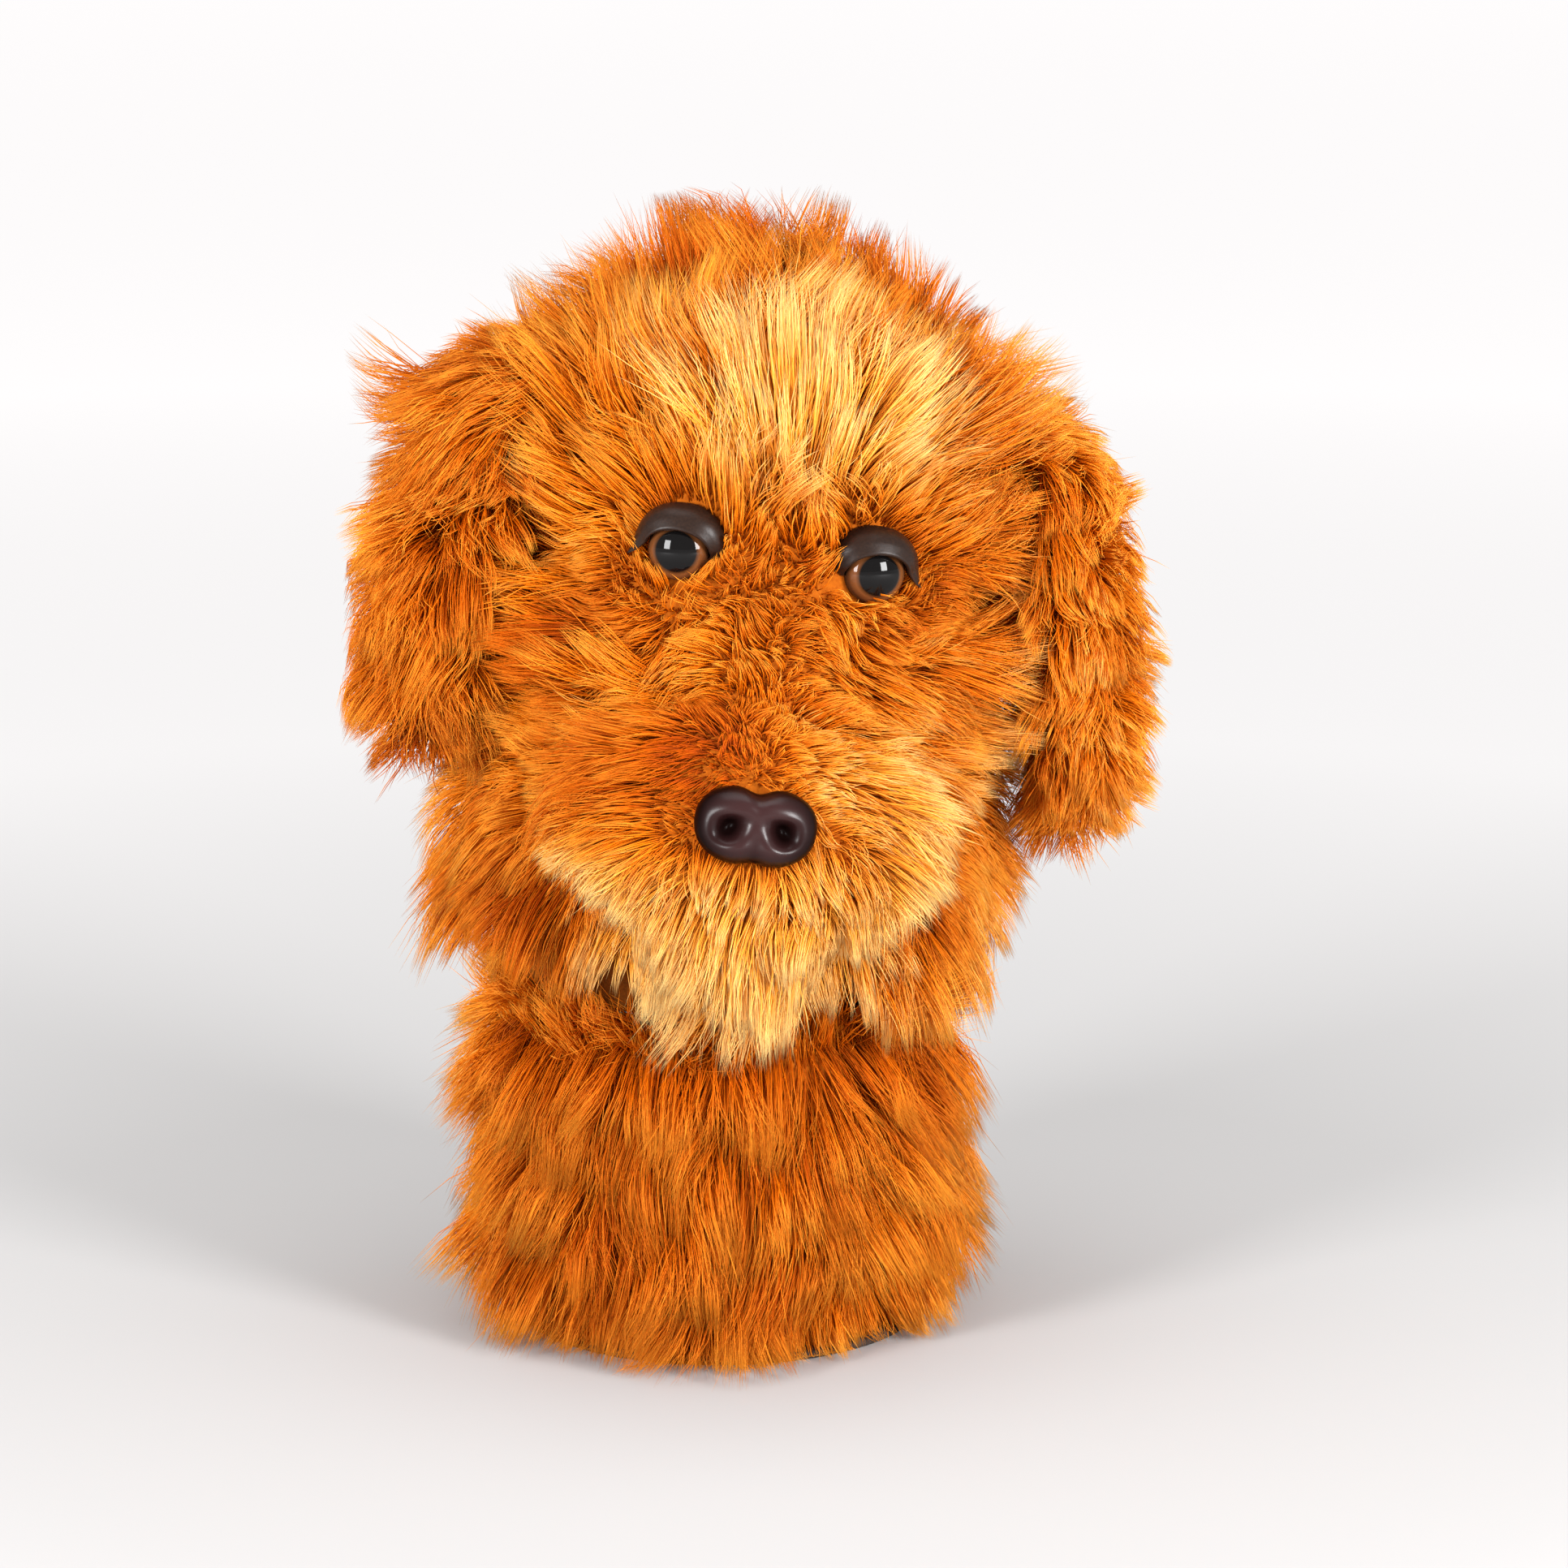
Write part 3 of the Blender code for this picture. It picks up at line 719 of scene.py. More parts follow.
def fur_pieces(name, path, tone, matrix, rng, settle):
    """Split hairs into meshes that stay whole in the export, place them, and settle each."""
    path = contain(path, matrix)
    thick = HAIR_R * rng.uniform(0.8, 1.2, len(path))
    tris_per_hair = 6 * (path.shape[1] - 1) - 2
    pieces = max(1, -(-len(path) * tris_per_hair // TRIS_PER_PIECE))
    for part in range(pieces):
        some = slice(part, None, pieces)
        label = name if pieces == 1 else f"{name}_{part + 1}"
        obj = link(label, hair_mesh(label, path[some], tone[some], thick[some]))
        placed(obj, matrix)
        dress(obj, FUR, "ginger_plush")
        settle(obj)


def around(x, z, at_x, at_z, radius):
    """1 inside a soft disc seen from the front, 0 outside it."""
    return ease(radius * 1.5, radius * 0.5, np.hypot(x - at_x, z - at_z))


def mixed(one, two, share):
    """The first value where share is 0, the second where it is 1."""
    return one * (1 - share) + two * share


def head_regions(p):
    """Soft masks over the head, 1 inside a region and 0 outside it, and the way from the parting.

    The hair parts from a line down the face; up is measured from it upwards, and reach all ways.
    """
    x, y, z = p.T
    wide = np.abs(x)
    front, back = ease(5, -40, y), ease(-5, 40, y)
    chin = ease(34, 17, z) * ease(-52, -72, y)
    muzzle = ease(-66, -80, y) * ease(87, 79, z)
    low_shadow_gap = ease(-74, -64, y) * ease(40, 50, wide) * ease(95, 79, z)
    up = z - np.clip(z, 47, 112)
    return SimpleNamespace(
        front=front, back=back, chin=chin, muzzle=muzzle, up=up, reach=np.hypot(x, up),
        under=muzzle * ease(46, 22, z),
        brow=ease(116, 150, z) * front,
        crown=ease(156, 188, z),
        # socket: where the cheeks meet the muzzle; shorter hair there, and painted shade in the hair's tone
        socket=low_shadow_gap * front * (1 - back),
        bridge=ease(22, 8, wide) * ease(56, 66, z) * ease(122, 108, z) * front,
        rim=ease(30, 8, z) * (1 - chin),
    )


def by_eye(p, side):
    """Sideways and upwards from an eye, how far, and how much the root is below it."""
    dx, dz = p[:, 0] - side * EYE_X, p[:, 2] - EYE_Z
    return dx, dz, np.hypot(dx, dz), ease(2, -9, dz)


def head_comb(p, on):
    """Which way the head's hair is combed: from the parting, down the back, round the eyes."""
    x, y, z = p.T
    away = np.stack((x * 1.05, 0.35 * (y + 95), on.up), 1)
    away[:, 2] += 13 * on.bridge
    away[:, 0] += 7 * on.front * ease(89, 75, z) * ease(39, 55, z) * ease(-20, 4, x)
    away[:, 2] -= 5 * ease(8, 2, on.reach) * on.front * (1 - on.bridge)
    comb = unit(away)
    comb[:, 2] -= 0.8 * ease(-20, 50, y) * ease(205, 150, z)
    comb[:, 2] -= 0.40 * ease(66, 16, z) + 0.9 * on.chin
    comb[:, 2] -= 1.6 * ease(30, 0, z)
    comb[:, 0] *= 1 - 0.6 * on.under
    comb[:, 2] -= 0.5 * on.under
    for side in SIDES:
        dx, dz, gap, below = by_eye(p, side)
        cover = below * ease(20, 16, gap)
        close = ease(36, 16, gap) * on.front * (1 - cover)
        comb[:, 0] += close * 1.2 * dx / np.maximum(gap, 1)
        comb[:, 2] += close * 1.2 * dz / np.maximum(gap, 1)
        comb = mixed(comb, np.array((0.15 * side, -0.2, 1.0)), cover[:, None])
    return comb


def head_length(p, on):
    """How long the head's hair is."""
    x, y, z = p.T
    wide = np.abs(x)
    length = 11 + 27 * ease(10, 46, on.reach)
    whiskers = 9 + (29 - 9 * ease(46, 22, z)) * ease(10, 44, on.reach)
    length = mixed(length, whiskers, on.muzzle)
    length = mixed(length, 24 + 28 * ease(118, 146, z), on.brow)
    length += 10 * ease(42, 62, wide) * ease(40, 80, z) * ease(190, 165, z) * (1 - on.back)
    length = mixed(length, 48 - 16 * ease(-15, 45, x), on.crown)
    length = mixed(length, 40 - 22 * ease(6, 34, wide), on.chin)
    length = length * (1 - 0.35 * on.socket)
    length = mixed(length, 34, on.back)
    length = mixed(length, 46 - 10 * ease(40, 62, wide) * (1 - on.back), on.rim)
    near_nose = ease(30, 15, np.hypot(x / 1.35, z - NOSE_AT.z)) * ease(-96, -108, y)
    length = mixed(length, 7 + 9 * ease(41, 31, z), near_nose)
    for side in SIDES:
        _, _, gap, below = by_eye(p, side)
        limit = mixed(15 + 1.3 * (gap - 13), 13, below) + 60 * ease(30, 46, gap)
        length = np.where(on.front > 0.5, np.minimum(length, limit), length)
    return length


def head_lift(p, n, on):
    """How far the head's hair stands up, from 0 to 1."""
    x, _, z = p.T
    lift = 0.38 + 0.32 * on.crown + 0.16 * ease(40, 66, np.abs(x)) - 0.06 * on.brow - 0.10 * on.back
    lift += 0.16 * ease(9, 3, on.reach) * ease(53, 61, z) * on.front
    lift += 0.45 * on.chin * ease(-0.3, -0.8, n[:, 2]) - 0.10 * on.chin - 0.26 * on.rim
    for side in SIDES:
        _, _, gap, below = by_eye(p, side)
        lift += 0.27 * below * ease(24, 14, gap) * on.front
    return lift.clip(0, 1)


def head_tone(p, on):
    """How pale the head's hair is, with painted shade where the cheeks meet the muzzle and below the eyes."""
    x, y, z = p.T
    wide = np.abs(x)
    tone = 0.44 + 0.36 * around(x, z, 4, 157, 26) * on.front + 0.18 * on.brow * ease(60, 20, wide)
    tone -= 0.16 * around(x, z, 0, 106, 22) * on.front
    tone += 0.62 * ease(46, 24, z) * ease(-52, -72, y)
    tone += 0.20 * on.muzzle * ease(30, 44, on.reach)
    tone += 0.22 * on.muzzle * around(x, z, 34, 63, 24) - 0.42 * on.muzzle * around(x, z, -30, 60, 30)
    # Painted shade where the cheeks meet the muzzle (socket); the crown is darker as well.
    tone -= 0.22 * on.socket + 0.40 * on.crown
    cheek = ease(50, 66, wide) * ease(150, 60, z) * on.front
    tone += (0.10 + 0.27 * ease(0, 60, x)) * cheek
    tone += 0.20 * around(x, z, 56, 72, 26) * on.front - 0.06 * ease(-20, -50, x) * on.front
    # Painted shade below and outside each eye.
    for side in SIDES:
        tone -= 0.20 * around(x, z, side * 46, 96, 17) * on.front
    return tone


def eye_frame(side):
    """From an eye's own frame, with Z outwards and Y up, to the head's."""
    place = Matrix.Translation((side * EYE_X, EYE_Y, EYE_Z))
    return place @ Matrix.Rotation(side * EYE_TURN, 4, "Z") @ Matrix.Rotation(pi / 2, 4, "X")


def nose_frame():
    """The same for the nose."""
    return Matrix.Translation(NOSE_AT) @ Matrix.Rotation(pi / 2 - NOSE_UP, 4, "X")


def in_front(path, matrix, half_w, half_h, middle=0.0):
    """Hairs that cross in front of a button's oval of that half width and height."""
    inverse = np.array(matrix.inverted())
    local = path @ inverse[:3, :3].T + inverse[:3, 3]
    inside = (local[..., 0] / half_w) ** 2 + ((local[..., 1] - middle) / half_h) ** 2 < 1
    return (inside & (local[..., 2] > -3)).any(1)


def before_buttons(path, nose_oval, eye_oval):
    """Hairs that cross in front of the nose or an eye, each kept clear by that oval."""
    hidden = in_front(path, nose_frame(), *nose_oval)
    for side in SIDES:
        hidden |= in_front(path, eye_frame(side), *eye_oval)
    return hidden


def head_parts(p):
    """The pieces of the head's fur as (name, roots) pairs."""
    x, y, z = p.T
    parts = [(y < -45) & (z < 26), (y < -62) & (z < 92), (y > 20) & (z < 140), z > 150]
    regions = np.select(parts, [0, 1, 2, 3], np.where(x < 0, 4, 5))
    names = ["beard_fur", "muzzle_fur", "back_fur", "crown_fur", "side_fur_left", "side_fur_right"]
    return [(name, regions == number) for number, name in enumerate(names)]


def build_head_fur(skin, rng):
    """The head's fur, kept clear of the eyes and the nose, and thinner at the back."""
    p, n = scatter(skin, rng, HEAD_HAIRS, lambda p, n: p[:, 2] > RIM_Z + 0.5)
    kept = rng.random(len(p)) < 1 - 0.30 * ease(-10, 30, p[:, 1])
    p, n = p[kept], n[kept]
    hidden = before_buttons(p[:, None], (15.5, 9.5), (13.0, 11.0, 4.0))
    p, n = p[~hidden], n[~hidden]
    on = head_regions(p)
    comb, length, lift = head_comb(p, on), head_length(p, on), head_lift(p, n, on)
    fall = 0.10 + 0.55 * on.chin + 0.15 * on.back + 0.12 * ease(75, 25, p[:, 2]) + 0.40 * on.rim
    comb = unit(comb) + 0.22 * Waves(rng, 75).at(p) + 0.17 * Waves(rng, 24).at(p)
    path, shared = grow(p, n, comb, length, lift, fall, rng)
    tone = head_tone(p, on) + (shared - 0.5) * 0.26 + 0.07 * Waves(rng, 45).at(p)[:, 0]
    tone = tone + rng.normal(size=len(p)) * 0.07

    hidden = before_buttons(path[:, 1:], (18.6, 11.6), (14.0, 10.4, 5.2))
    p, path, tone = p[~hidden], path[~hidden], tone[~hidden]
    for name, mine in head_parts(p):
        fur_pieces(name, path[mine], tone[mine], HEAD, rng, lambda obj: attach(obj, "head"))


def lie_on_floor(path, root):
    """Turn what would sink into the floor outwards along it."""
    floor = FLOOR + 1.2
    sunk = np.minimum(path[..., 2] - floor, 0)
    path[..., :2] += -0.12 * sunk[..., None] * unit(root[:, :2])[:, None]
    path[..., 2] = np.where(sunk < 0, floor - 0.02 * sunk, path[..., 2])


def build_neck_fur(skin, rng):
    """The sleeve's fur: a coat that hangs, and under the head's rim one that stands."""
    p, n = scatter(skin, rng, NECK_HAIRS, lambda p, n: n[:, 0] * p[:, 0] + n[:, 1] * p[:, 1] > 0)
    z = p[:, 2]
    turn = np.arctan2(p[:, 0], -p[:, 1])
    spread = np.stack((np.cos(turn), np.sin(turn), 0 * z), 1) * np.sin(turn * 2.0)[:, None] * 0.40
    low = ease(FLOOR + 45, FLOOR + 8, z)
    flare = np.exp(-(((z - FLOOR - 52) / 20) ** 2))
    comb = np.array((0, 0, -1.0)) + spread * (0.4 + 0.6 * low[:, None])
    comb = comb + 0.34 * Waves(rng, 75).at(p) + 0.14 * Waves(rng, 26).at(p)
    length = np.minimum(47 + 4 * Waves(rng, 60).at(p)[:, 0], 10 + 1.05 * (z - FLOOR))
    left = ease(0.4, 1.2, -turn) * ease(2.6, 2.0, -turn) * ease(-82, -52, z)
    lift = 0.36 + 0.06 * flare - 0.24 * low + 0.26 * left
    path, shared = grow(p, n, comb, length, lift, 0.18, rng, 3, NECK_TUFTS)

    high = z > -56
    root, out = p[high] + rng.normal(size=(high.sum(), 3)) * 0.6, n[high]
    reach = 10 + 27 * ease(-58, -44, root[:, 2])
    up = out * 0.2 + np.array((0, 0, 1.0))
    standing, its_shared = grow(root, out, up, reach, 0.44, 0, rng, 3, NECK_TUFTS)
    path, shared = np.concatenate((path, standing)), np.concatenate((shared, its_shared))
    turn, low = np.concatenate((turn, turn[high])), np.concatenate((low, 0 * reach))
    root = np.concatenate((p, root))
    inside = (np.hypot(path[..., 0], path[..., 1]) < NECK_R - 6).any(1)
    path, shared, turn, low, root = (value[~inside] for value in (path, shared, turn, low, root))
    lie_on_floor(path, root)

    tone = 0.26 + 0.24 * ease(0.7, 1.7, np.abs(turn)) + 0.22 * low
    tone = tone + (shared - 0.5) * 0.28 + rng.normal(size=len(tone)) * 0.07
    quarter = np.floor((turn + pi / 4) / (pi / 2)).astype(int) % 4
    for number, way in enumerate(("front", "right", "back", "left")):
        mine = quarter == number
        fur_pieces(f"neck_fur_{way}", path[mine], tone[mine], NECK, rng, lambda obj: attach(obj, "neck"))


def hang_from_head():
    """How an ear's pieces settle: their placement is baked into their meshes."""
    return lambda obj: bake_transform(obj)


def build_ear_fur(skin, side, rng):
    """An ear's fur: it hangs along the ear, and fans out from its outer panel."""
    p, n = scatter(skin, rng, EAR_HAIRS, lambda p, n: p[:, 0] > -27)
    x, y, z = p.T
    line, along = curve_through(EAR_LINE, 80)
    spot = nearest(np.stack((x, 0 * x, z), 1), np.stack((line[:, 0], 0 * line[:, 0], line[:, 1]), 1))
    outer = ease(-0.3, 0.3, n[:, 0] * -along[spot, 1] + n[:, 2] * along[spot, 0])
    top = outer * ease(-34, -8, z)
    crest = outer * ease(2, -12, x)
    hang = np.stack((along[spot, 0], y / 42, 0.8 * along[spot, 1]), 1)
    fan = np.stack((0 * x + 0.9, y / 36, ((z + 22) / 45).clip(-1, -0.05)), 1)
    spread = (0.62 * outer - 0.30 * crest)[:, None]
    comb = mixed(unit(hang), unit(fan), spread)
    comb = comb + 0.24 * Waves(rng, 60).at(p) + 0.16 * Waves(rng, 22).at(p)
    longer, crest_cut, end_cut, paler = (13, 19, 12, -0.08) if side < 0 else (-3, 9, 0, 0.12)
    length = 27 + longer * outer - crest_cut * crest - end_cut * outer * ease(-80, -112, z)
    lift = 0.34 + 0.20 * outer - 0.10 * top - 0.14 * crest - 0.06 * outer * ease(-75, -115, z)
    fall = 0.10 * ease(-5, -30, z)
    path, shared = grow(p, n, comb, length, lift, fall, rng)
    tone = 0.34 + paler * outer + (shared - 0.5) * 0.24 + rng.normal(size=len(p)) * 0.07
    for name, mine in (("outer", outer >= 0.5), ("inner", outer < 0.5)):
        label = f"ear_fur_{name}_{SIDES[side]}"
        fur_pieces(label, path[mine], tone[mine], ear_frame(side), rng, hang_from_head())


# ---- eyes, lids, nose


def build_eye(side):
    """A domed button on its stem; the rings attribute runs from its middle to its rim."""
    word = SIDES[side]
    outline = [(EYE_R * sin(a), EYE_DOME * cos(a)) for a in [radians(2.5 * k) for k in range(36)]]
    outline[0] = (0, EYE_DOME)
    outline += [(EYE_R, 0), (EYE_R - 0.6, -0.5), (2.5, -0.6), (2.5, -7), (0, -7)]
    mesh = mesh_of(f"eye_button_{word}", *lathe(outline, 64))
    rings = mesh.attributes.new("rings", "FLOAT", "POINT")
    rings.data.foreach_set("value", [min(sqrt(v.co.x**2 + v.co.y**2) / EYE_R, 1) for v in mesh.vertices])
    obj = placed(link(f"eye_button_{word}", mesh), HEAD @ eye_frame(side))
    dress(obj, EYE, "eye_gloss", f"eye_{word}")
    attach(obj, "head")


LID_RING = (0, 0, 0.03, 0.08, 0.16, 0.28, 0.42, 0.56, 0.70, 0.82, 0.92, 1.0, 1.0, 0.5)
LID_START, LID_SWEEP = -14, 206  # degrees round the eye
LID_TAIL_IN, LID_TAIL_OUT = Vector((-16.4, -3.9)), Vector((-17.0, -3.6))


def build_lid(side, steps=72):
    """A moulded hood over the eye: a rounded lip, a domed back, and a tail at its outer corner."""
    word = SIDES[side]
    points, faces = [], []
    for k in range(steps + 1):
        a = radians(LID_START + LID_SWEEP * k / steps)
        c, s = cos(a), sin(a)
        inner = Vector((10.6 * c, 7.0 * s))
        full = 1 + 0.10 * max(c, 0) * max(s, 0)
        outer = Vector((15.0 * c * full, 15.2 * max(s, 0) ** 0.85 * full + 9 * min(s, 0)))
        tail = ease(168, 192, a * 180 / pi)
        ends = min(ease(-16, 6, a * 180 / pi), 1)
        outer = outer.lerp(LID_TAIL_OUT, tail)
        inner = inner.lerp(LID_TAIL_IN, tail * 0.96)
        outer = inner.lerp(outer, 0.25 + 0.75 * ends)
        lip = (2.6 + 5.2 * max(s, 0) ** 0.7) * (1 - 0.75 * tail) * (0.4 + 0.6 * ends)
        for j, t in enumerate(LID_RING):
            at = inner.lerp(outer, t)
            if j == 0 or j >= len(LID_RING) - 2:
                z = -0.4 if j else 0.4
            else:
                z = lip * (1 - t**2.3) ** 0.6 + 0.5 * np.exp(-(((t - 0.10) / 0.09) ** 2)) - 0.3 * (j == 1)
            points.append((-side * at.x, at.y, z))
    ring = len(LID_RING)
    for k in range(steps):
        for j in range(ring):
            m = (j + 1) % ring
            faces.append((k * ring + j, (k + 1) * ring + j, (k + 1) * ring + m, k * ring + m))
    faces.append(list(range(ring)))
    faces.append(list(range(steps * ring, (steps + 1) * ring)))
    obj = placed(link(f"lid_{word}", mesh_of(f"lid_{word}", points, faces)), HEAD @ eye_frame(side))
    dress(obj, LID, "lid_satin", f"eyelid_{word}")
    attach(obj, "head")


NOSE_HALF = (19.5, 12.9)
NOSTRIL = (8.5, -0.6)


def nose_edge(a):
    """Outline of the nose: two lobes, a notch between them above and a shallow one below."""
    c, s = cos(a), sin(a)
    full = (abs(c) ** 2.5 + abs(s) ** 2.5) ** (-1 / 2.5)
    notch = (0.20 if s > 0 else 0.11) * np.exp(-((c / 0.24) ** 2))
    return NOSE_HALF[0] * c * full * (1 - 0.06 * max(-s, 0)), NOSE_HALF[1] * s * full * (1 - notch)


def nose_height(x, y, q):
    """Height over the nose's base: a bar across the top, and nostrils that shelve down to full lips."""
    high = 8.8 * (1 - q**3.4) ** 0.5
    high += 0.9 * np.exp(-(((y - 6.5) / 4.5) ** 2) - (x / 14) ** 4) * (1 - q**4)
    for side in SIDES:
        dx, dy = side * x - NOSTRIL[0], y - NOSTRIL[1]
        tall = 3.0 if dy > 0 else 4.8
        off = ((0.9 * dx + 0.2 * dy) / 3.5) ** 2 + (abs(dy) / tall) ** (3 if dy > 0 else 2)
        high += 1.2 * ease(-2, -7, dy) * np.exp(-((dx / 6) ** 2)) * (1 - q**6)
        high -= 6.2 * np.exp(-off)
    return high - 0.9 * np.exp(-((x / 2.4) ** 2)) * ease(-1, -7, y) * (1 - q**4)


def build_nose(turns=144, rings=46):
    """A bean-shaped button on a stem, with two deep nostrils."""
    points, faces = [(0, 0, nose_height(0, 0, 0))], []
    angles = [2 * pi * k / turns for k in range(turns)]
    for i in range(1, rings + 1):
        q = sin(pi / 2 * i / rings)
        for a in angles:
            x, y = nose_edge(a)
            points.append((q * x, q * y, nose_height(q * x, q * y, q)))
    for depth, scale in ((-0.3, 1.0), (-0.5, 0.97)):
        points += [(scale * nose_edge(a)[0], scale * nose_edge(a)[1], depth) for a in angles]
    points += [(2.5 * cos(a), 2.5 * sin(a), z) for z in (-0.6, -7) for a in angles]
    points.append((0, 0, -7))
    for k in range(turns):
        n = (k + 1) % turns
        faces.append((0, 1 + k, 1 + n))
        for i in range(rings + 3):
            a, b = 1 + i * turns, 1 + (i + 1) * turns
            faces.append((a + k, b + k, b + n, a + n))
        last = 1 + (rings + 3) * turns
        faces.append((last + k, len(points) - 1, last + n))
    mesh = mesh_of("nose_button", points, faces)
    # The height attribute drives the nose's painted shade in its low parts and painted highlight on its high
    # parts.
    height = mesh.attributes.new("height", "FLOAT", "POINT")
    height.data.foreach_set("value", [min(max(v.co.z / 9.5, 0), 1) for v in mesh.vertices])
    obj = placed(link("nose_button", mesh), HEAD @ nose_frame())
    dress(obj, NOSE, "nose_gloss", "nose")
    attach(obj, "head")


# ---- linings and fillings


def ring_piece(name, outline, place, body, look, slot_name, node, wave=None, turns=180):
    """A turned piece of cloth or filling that stands for a CAD node."""
    obj = placed(link(name, mesh_of(name, *lathe(outline, turns, wave))), place)
    dress(obj, look, slot_name, node)
    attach(obj, body)


def lumps(size):
    return lambda a, z: size * (sin(7 * a + 0.09 * z) * sin(0.11 * z + 2 * a) + 0.5 * sin(13 * a - 0.17 * z))


def ribs(count, size):
    return lambda a, z: size * sin(count * a)


def tube(inner, outer, low, high, rows=16):
    up = [low + (high - low) * k / rows for k in range(rows + 1)]
    return [(outer, z) for z in up] + [(inner, z) for z in up[::-1]]


def sector(outer, inner, low, high, steps=12):
    """Outline of a band between two spheres about the pivot, by degrees above the horizontal."""
    angles = [radians(low + (high - low) * k / steps) for k in range(steps + 1)]
    sides = (outer, angles), (inner, angles[::-1])
    return [(r * cos(a), r * sin(a)) for r, some in sides for a in some]


def skull_shell(r, top, low, steps=18):
    """Outline of a tube and dome from a height up to its top on the axis."""
    high = top - SKULL_MID_Z
    start = 0 if low < SKULL_MID_Z else np.arcsin((low - SKULL_MID_Z) / high)
    side = [(r, low + (SKULL_MID_Z - low) * k / 8) for k in range(8)] if low < SKULL_MID_Z else []
    angles = [start + (pi / 2 - start) * k / steps for k in range(steps)]
    return side + [(r * cos(a), SKULL_MID_Z + high * sin(a)) for a in angles] + [(0, top)]


def build_stitches(name, radius, height, count=72):
    """A ring of small raised stitches on the neck."""
    parts = []
    for k in range(count):
        a = 2 * pi * k / count
        c, s = cos(a), sin(a)
        points, faces = sphere_part((0, 0, 0), (0.45, 1.5, 0.35), 8, 6)
        points = [(radius * c + x * c - y * s, radius * s + x * s + y * c, height + z) for x, y, z in points]
        parts.append((points, faces))
    obj = placed(link(name, mesh_of(name, *both(*parts))), NECK)
    dress(obj, THREAD, "knit")
    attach(obj, "neck")


def build_neck_linings():
    """The bound hem, the lining, padding and elastic, and the band and tape in the joint."""
    hem = [(BORE_R + 0.1, 0.8), (BORE_R + 0.9, 0), (69, 0), (69.8, 0.8), (69.8, 2.3), (69, 3)]
    hem += [(57, 3), (56.5, 3.6), (56.5, 13.6), (56.1, 14), (BORE_R + 0.5, 14), (BORE_R + 0.1, 13.6)]
    hem = [(r, FLOOR + z) for r, z in hem]
    ring_piece("hem_tape", hem, NECK, "neck", KNIT, "knit", "hem_binding", ribs(120, 0.10), 480)
    build_stitches("hem_stitches", BORE_R + 4, FLOOR + 0.45)
    lining = tube(BORE_R + 0.2, BORE_R + 1.4, FLOOR + 14.4, LINING_TOP)
    ring_piece("neck_lining", lining, NECK, "neck", KNIT, "knit", "neck_liner", ribs(120, 0.12), 480)

    low, high = ELASTIC_Z
    wadding = [(61.4, z) for z in np.linspace(FLOOR + 3.6, LINING_TOP - 0.1, 24)]
    wadding += [(57.3, LINING_TOP - 0.1), (57.3, high + 0.4), (59.3, high + 0.4)]
    wadding += [(59.3, low - 0.4), (57.3, low - 0.4), (57.3, FLOOR + 3.6)]
    wave = lumps(0.14)
    ring_piece("neck_wadding", wadding, NECK, "neck", FILLING, "filling", "neck_padding", wave)
    elastic = tube(57.2, 58.7, low, high, 6)
    wave = ribs(90, 0.12)
    ring_piece("shaft_elastic", elastic, NECK, "neck", ELASTIC, "elastic", "neck_elastic", wave, 360)
    ball = sector(BALL_R, 62.2, -26, 10)[:13] + [(62.3, LINING_TOP - 0.1), (62.3, -31.8)]
    ring_piece("neck_top_cloth", ball, NECK, "neck", BAND, "knit", "neck_top_band", ribs(140, 0.10), 560)
    tape = sector(74.5, 73.75, -9, 9)
    ring_piece("seam_tape", tape, NECK, "collar", BAND, "knit", "neck_seam_tape", ribs(160, 0.05), 640)


def build_head_linings():
    """The padding round and over the skull, and the sock inside it."""
    below, above = PADDING_SPLIT_Z - 0.4, PADDING_SPLIT_Z + 0.4
    skull = [(PADDING_IN, 50.5), (61, 46.5), (65.5, 40)]
    skull += [(PADDING_OUT, z) for z in np.linspace(46, below, 20)]
    skull += [(PADDING_IN, z) for z in np.linspace(below, 56, 18)]
    wave = lumps(0.3)
    ring_piece("skull_wadding", skull, HEAD, "head", FILLING, "filling", "skull_padding", wave)
    crown = skull_shell(PADDING_OUT, 197.4, above) + skull_shell(PADDING_IN, 190.6, above)[::-1]
    ring_piece("crown_wadding", crown, HEAD, "head", FILLING, "filling", "crown_padding")
    sock = [(SOCK_IN + 0.1, 52), (SOCK_OUT, 50.6)]
    sock += skull_shell(SOCK_OUT, 189.4, 54) + skull_shell(SOCK_IN, 188.2, 54)[::-1]
    ring_piece("head_sock", sock, HEAD, "head", KNIT, "knit", "head_liner", turns=480)


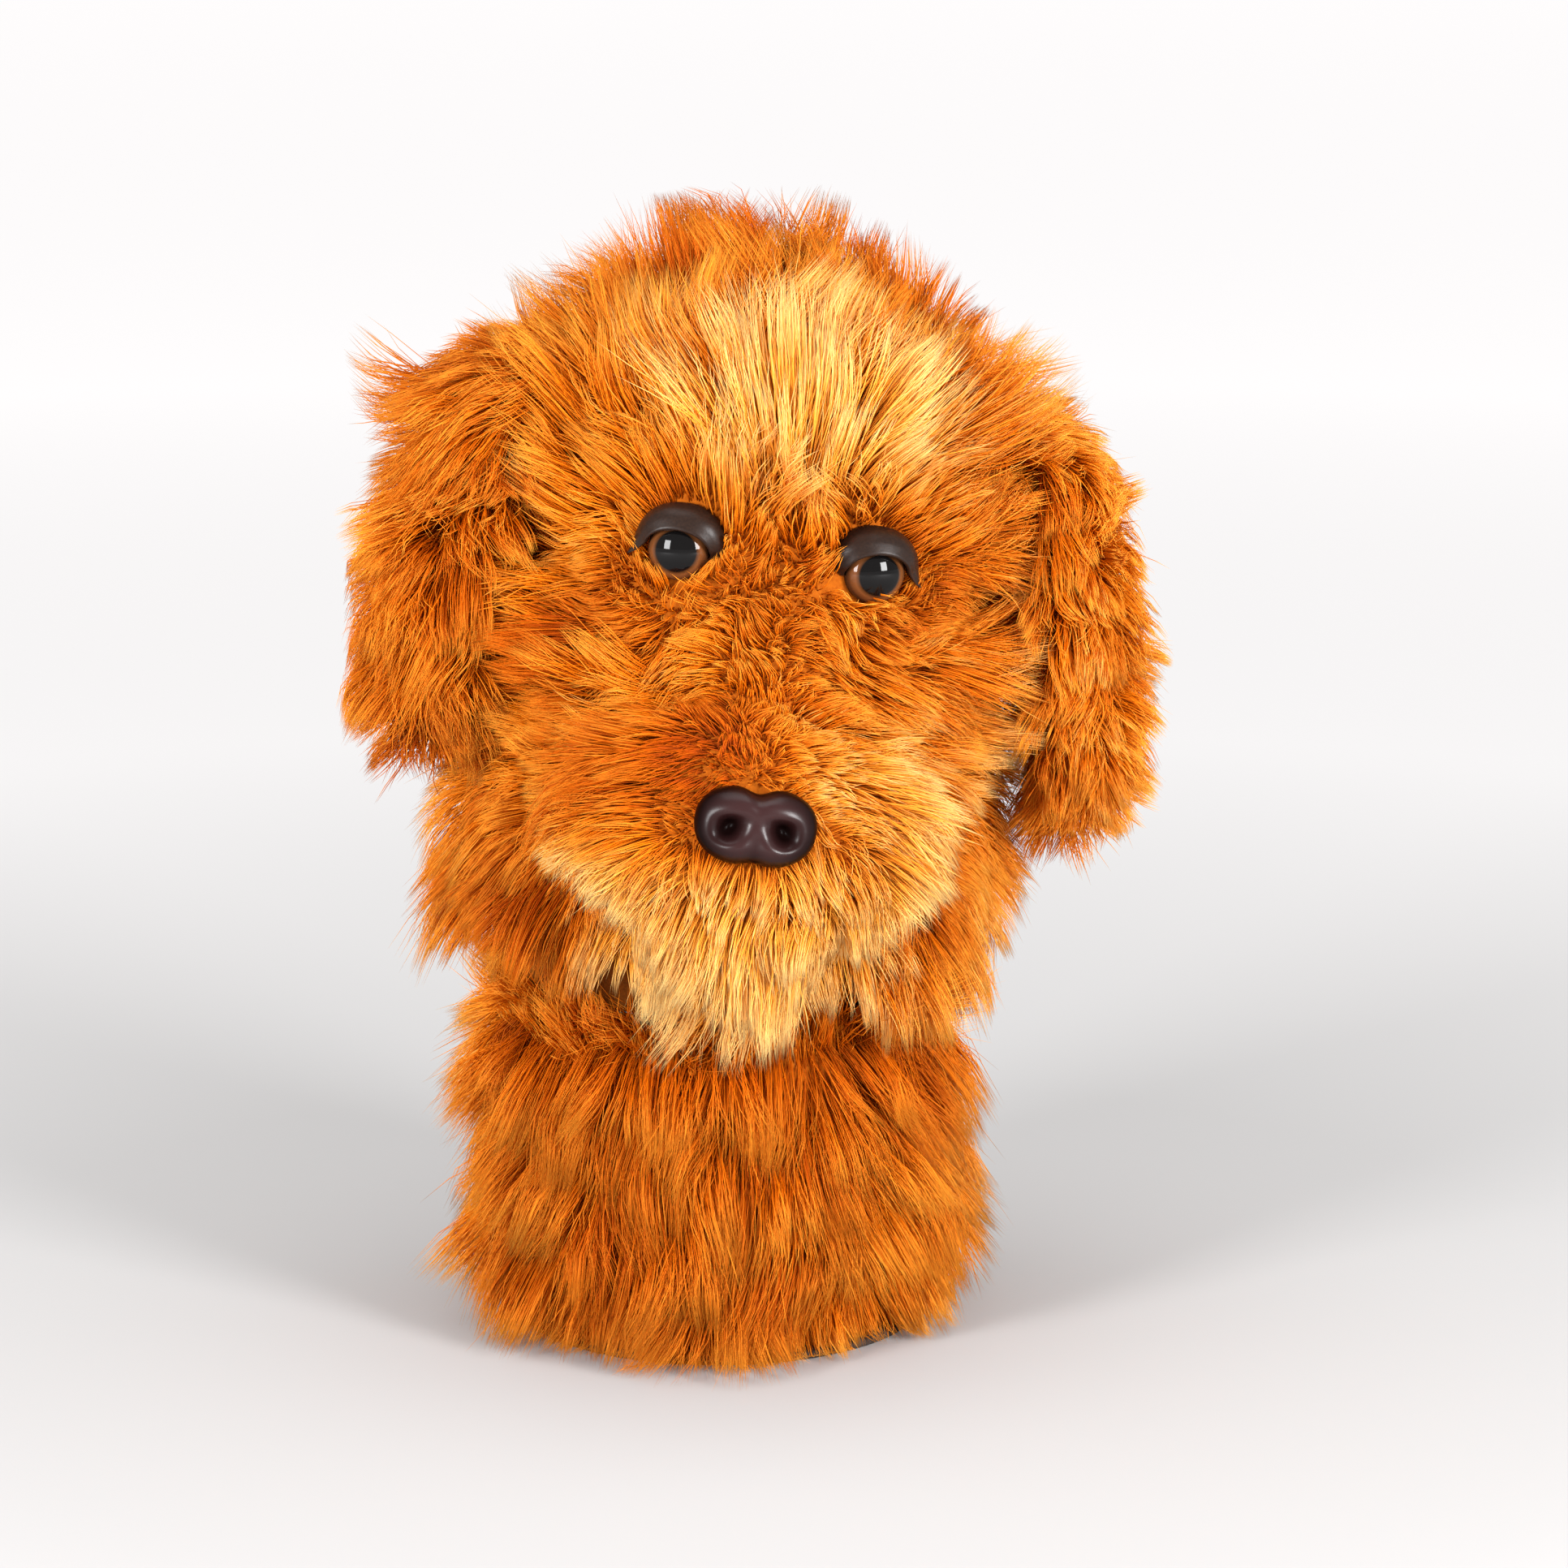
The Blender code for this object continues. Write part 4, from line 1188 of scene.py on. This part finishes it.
def build_muzzle_filling():
    """The muzzle's stuffing, pressed forwards by the neck's ball behind it."""
    points, faces = sphere_part((0, -80, 39), (41.6, 32.6, 25.8), 72, 48)
    shaped = []
    for x, y, z in points:
        push = max(1, 77 / max(sqrt(x * x + y * y), 1))
        shaped.append((x * push, y * push, z + 0.3 * sin(x * 0.5) * sin(y * 0.4)))
    stuffing = placed(link("muzzle_filling", mesh_of("muzzle_filling", shaped, faces)), HEAD)
    dress(stuffing, FILLING, "filling", "muzzle_stuffing")
    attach(stuffing, "head")


def build_washers():
    """The washers that hold the stems of the eyes and the nose behind the plush."""
    plate = [(2.9, -5.5), (3.2, -5.8), (7.6, -5.8), (7.9, -5.5)]
    plate += [(r, -9.9 - z) for r, z in plate[::-1]]
    star = ribs(6, 0.12)
    for side, word in SIDES.items():
        place, node = HEAD @ eye_frame(side), f"eye_washer_{word}"
        ring_piece(f"eye_plate_{word}", plate, place, "head", WASHER, "washer", node, star, 72)
    ring_piece("nose_plate", plate, HEAD @ nose_frame(), "head", WASHER, "washer", "nose_washer", star, 72)


# ---- the whole cover


def build_head(rng):
    skin = build_head_skin()
    build_head_fur(skin, rng)
    thicken(skin, HEAD_CLOTH)
    placed(skin, HEAD)
    panels = ["head_crown_gusset", "head_back_panel", "head_side_left", "head_side_right"]
    panels += ["muzzle_bridge", "muzzle_left", "muzzle_right", "chin_panel"]
    dress(skin, SKIN, "ginger_plush", *panels)
    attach(skin, "head")


def build_neck(rng):
    skin = build_neck_skin()
    build_neck_fur(skin, rng)
    placed(skin, NECK)
    dress(skin, SKIN, "ginger_plush", "neck_sleeve")
    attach(skin, "neck")


def build_ear(side, rng):
    word = SIDES[side]
    skin = build_ear_skin(f"ear_skin_{word}")
    build_ear_fur(skin, side, rng)
    placed(skin, ear_frame(side))
    if side < 0:
        skin.data.flip_normals()
    dress(skin, SKIN, "ginger_plush", f"ear_outer_{word}", f"ear_inner_{word}")
    hang_from_head()(skin)


add_camera()
for softbox in SOFTBOXES:
    add_softbox(*softbox)
add_surroundings()
add_floor()

draws = np.random.default_rng(SEED)
build_head(draws)
build_neck(draws)
for each in SIDES:
    build_ear(each, draws)
    build_eye(each)
    build_lid(each)
build_nose()
build_neck_linings()
build_head_linings()
build_muzzle_filling()
build_washers()
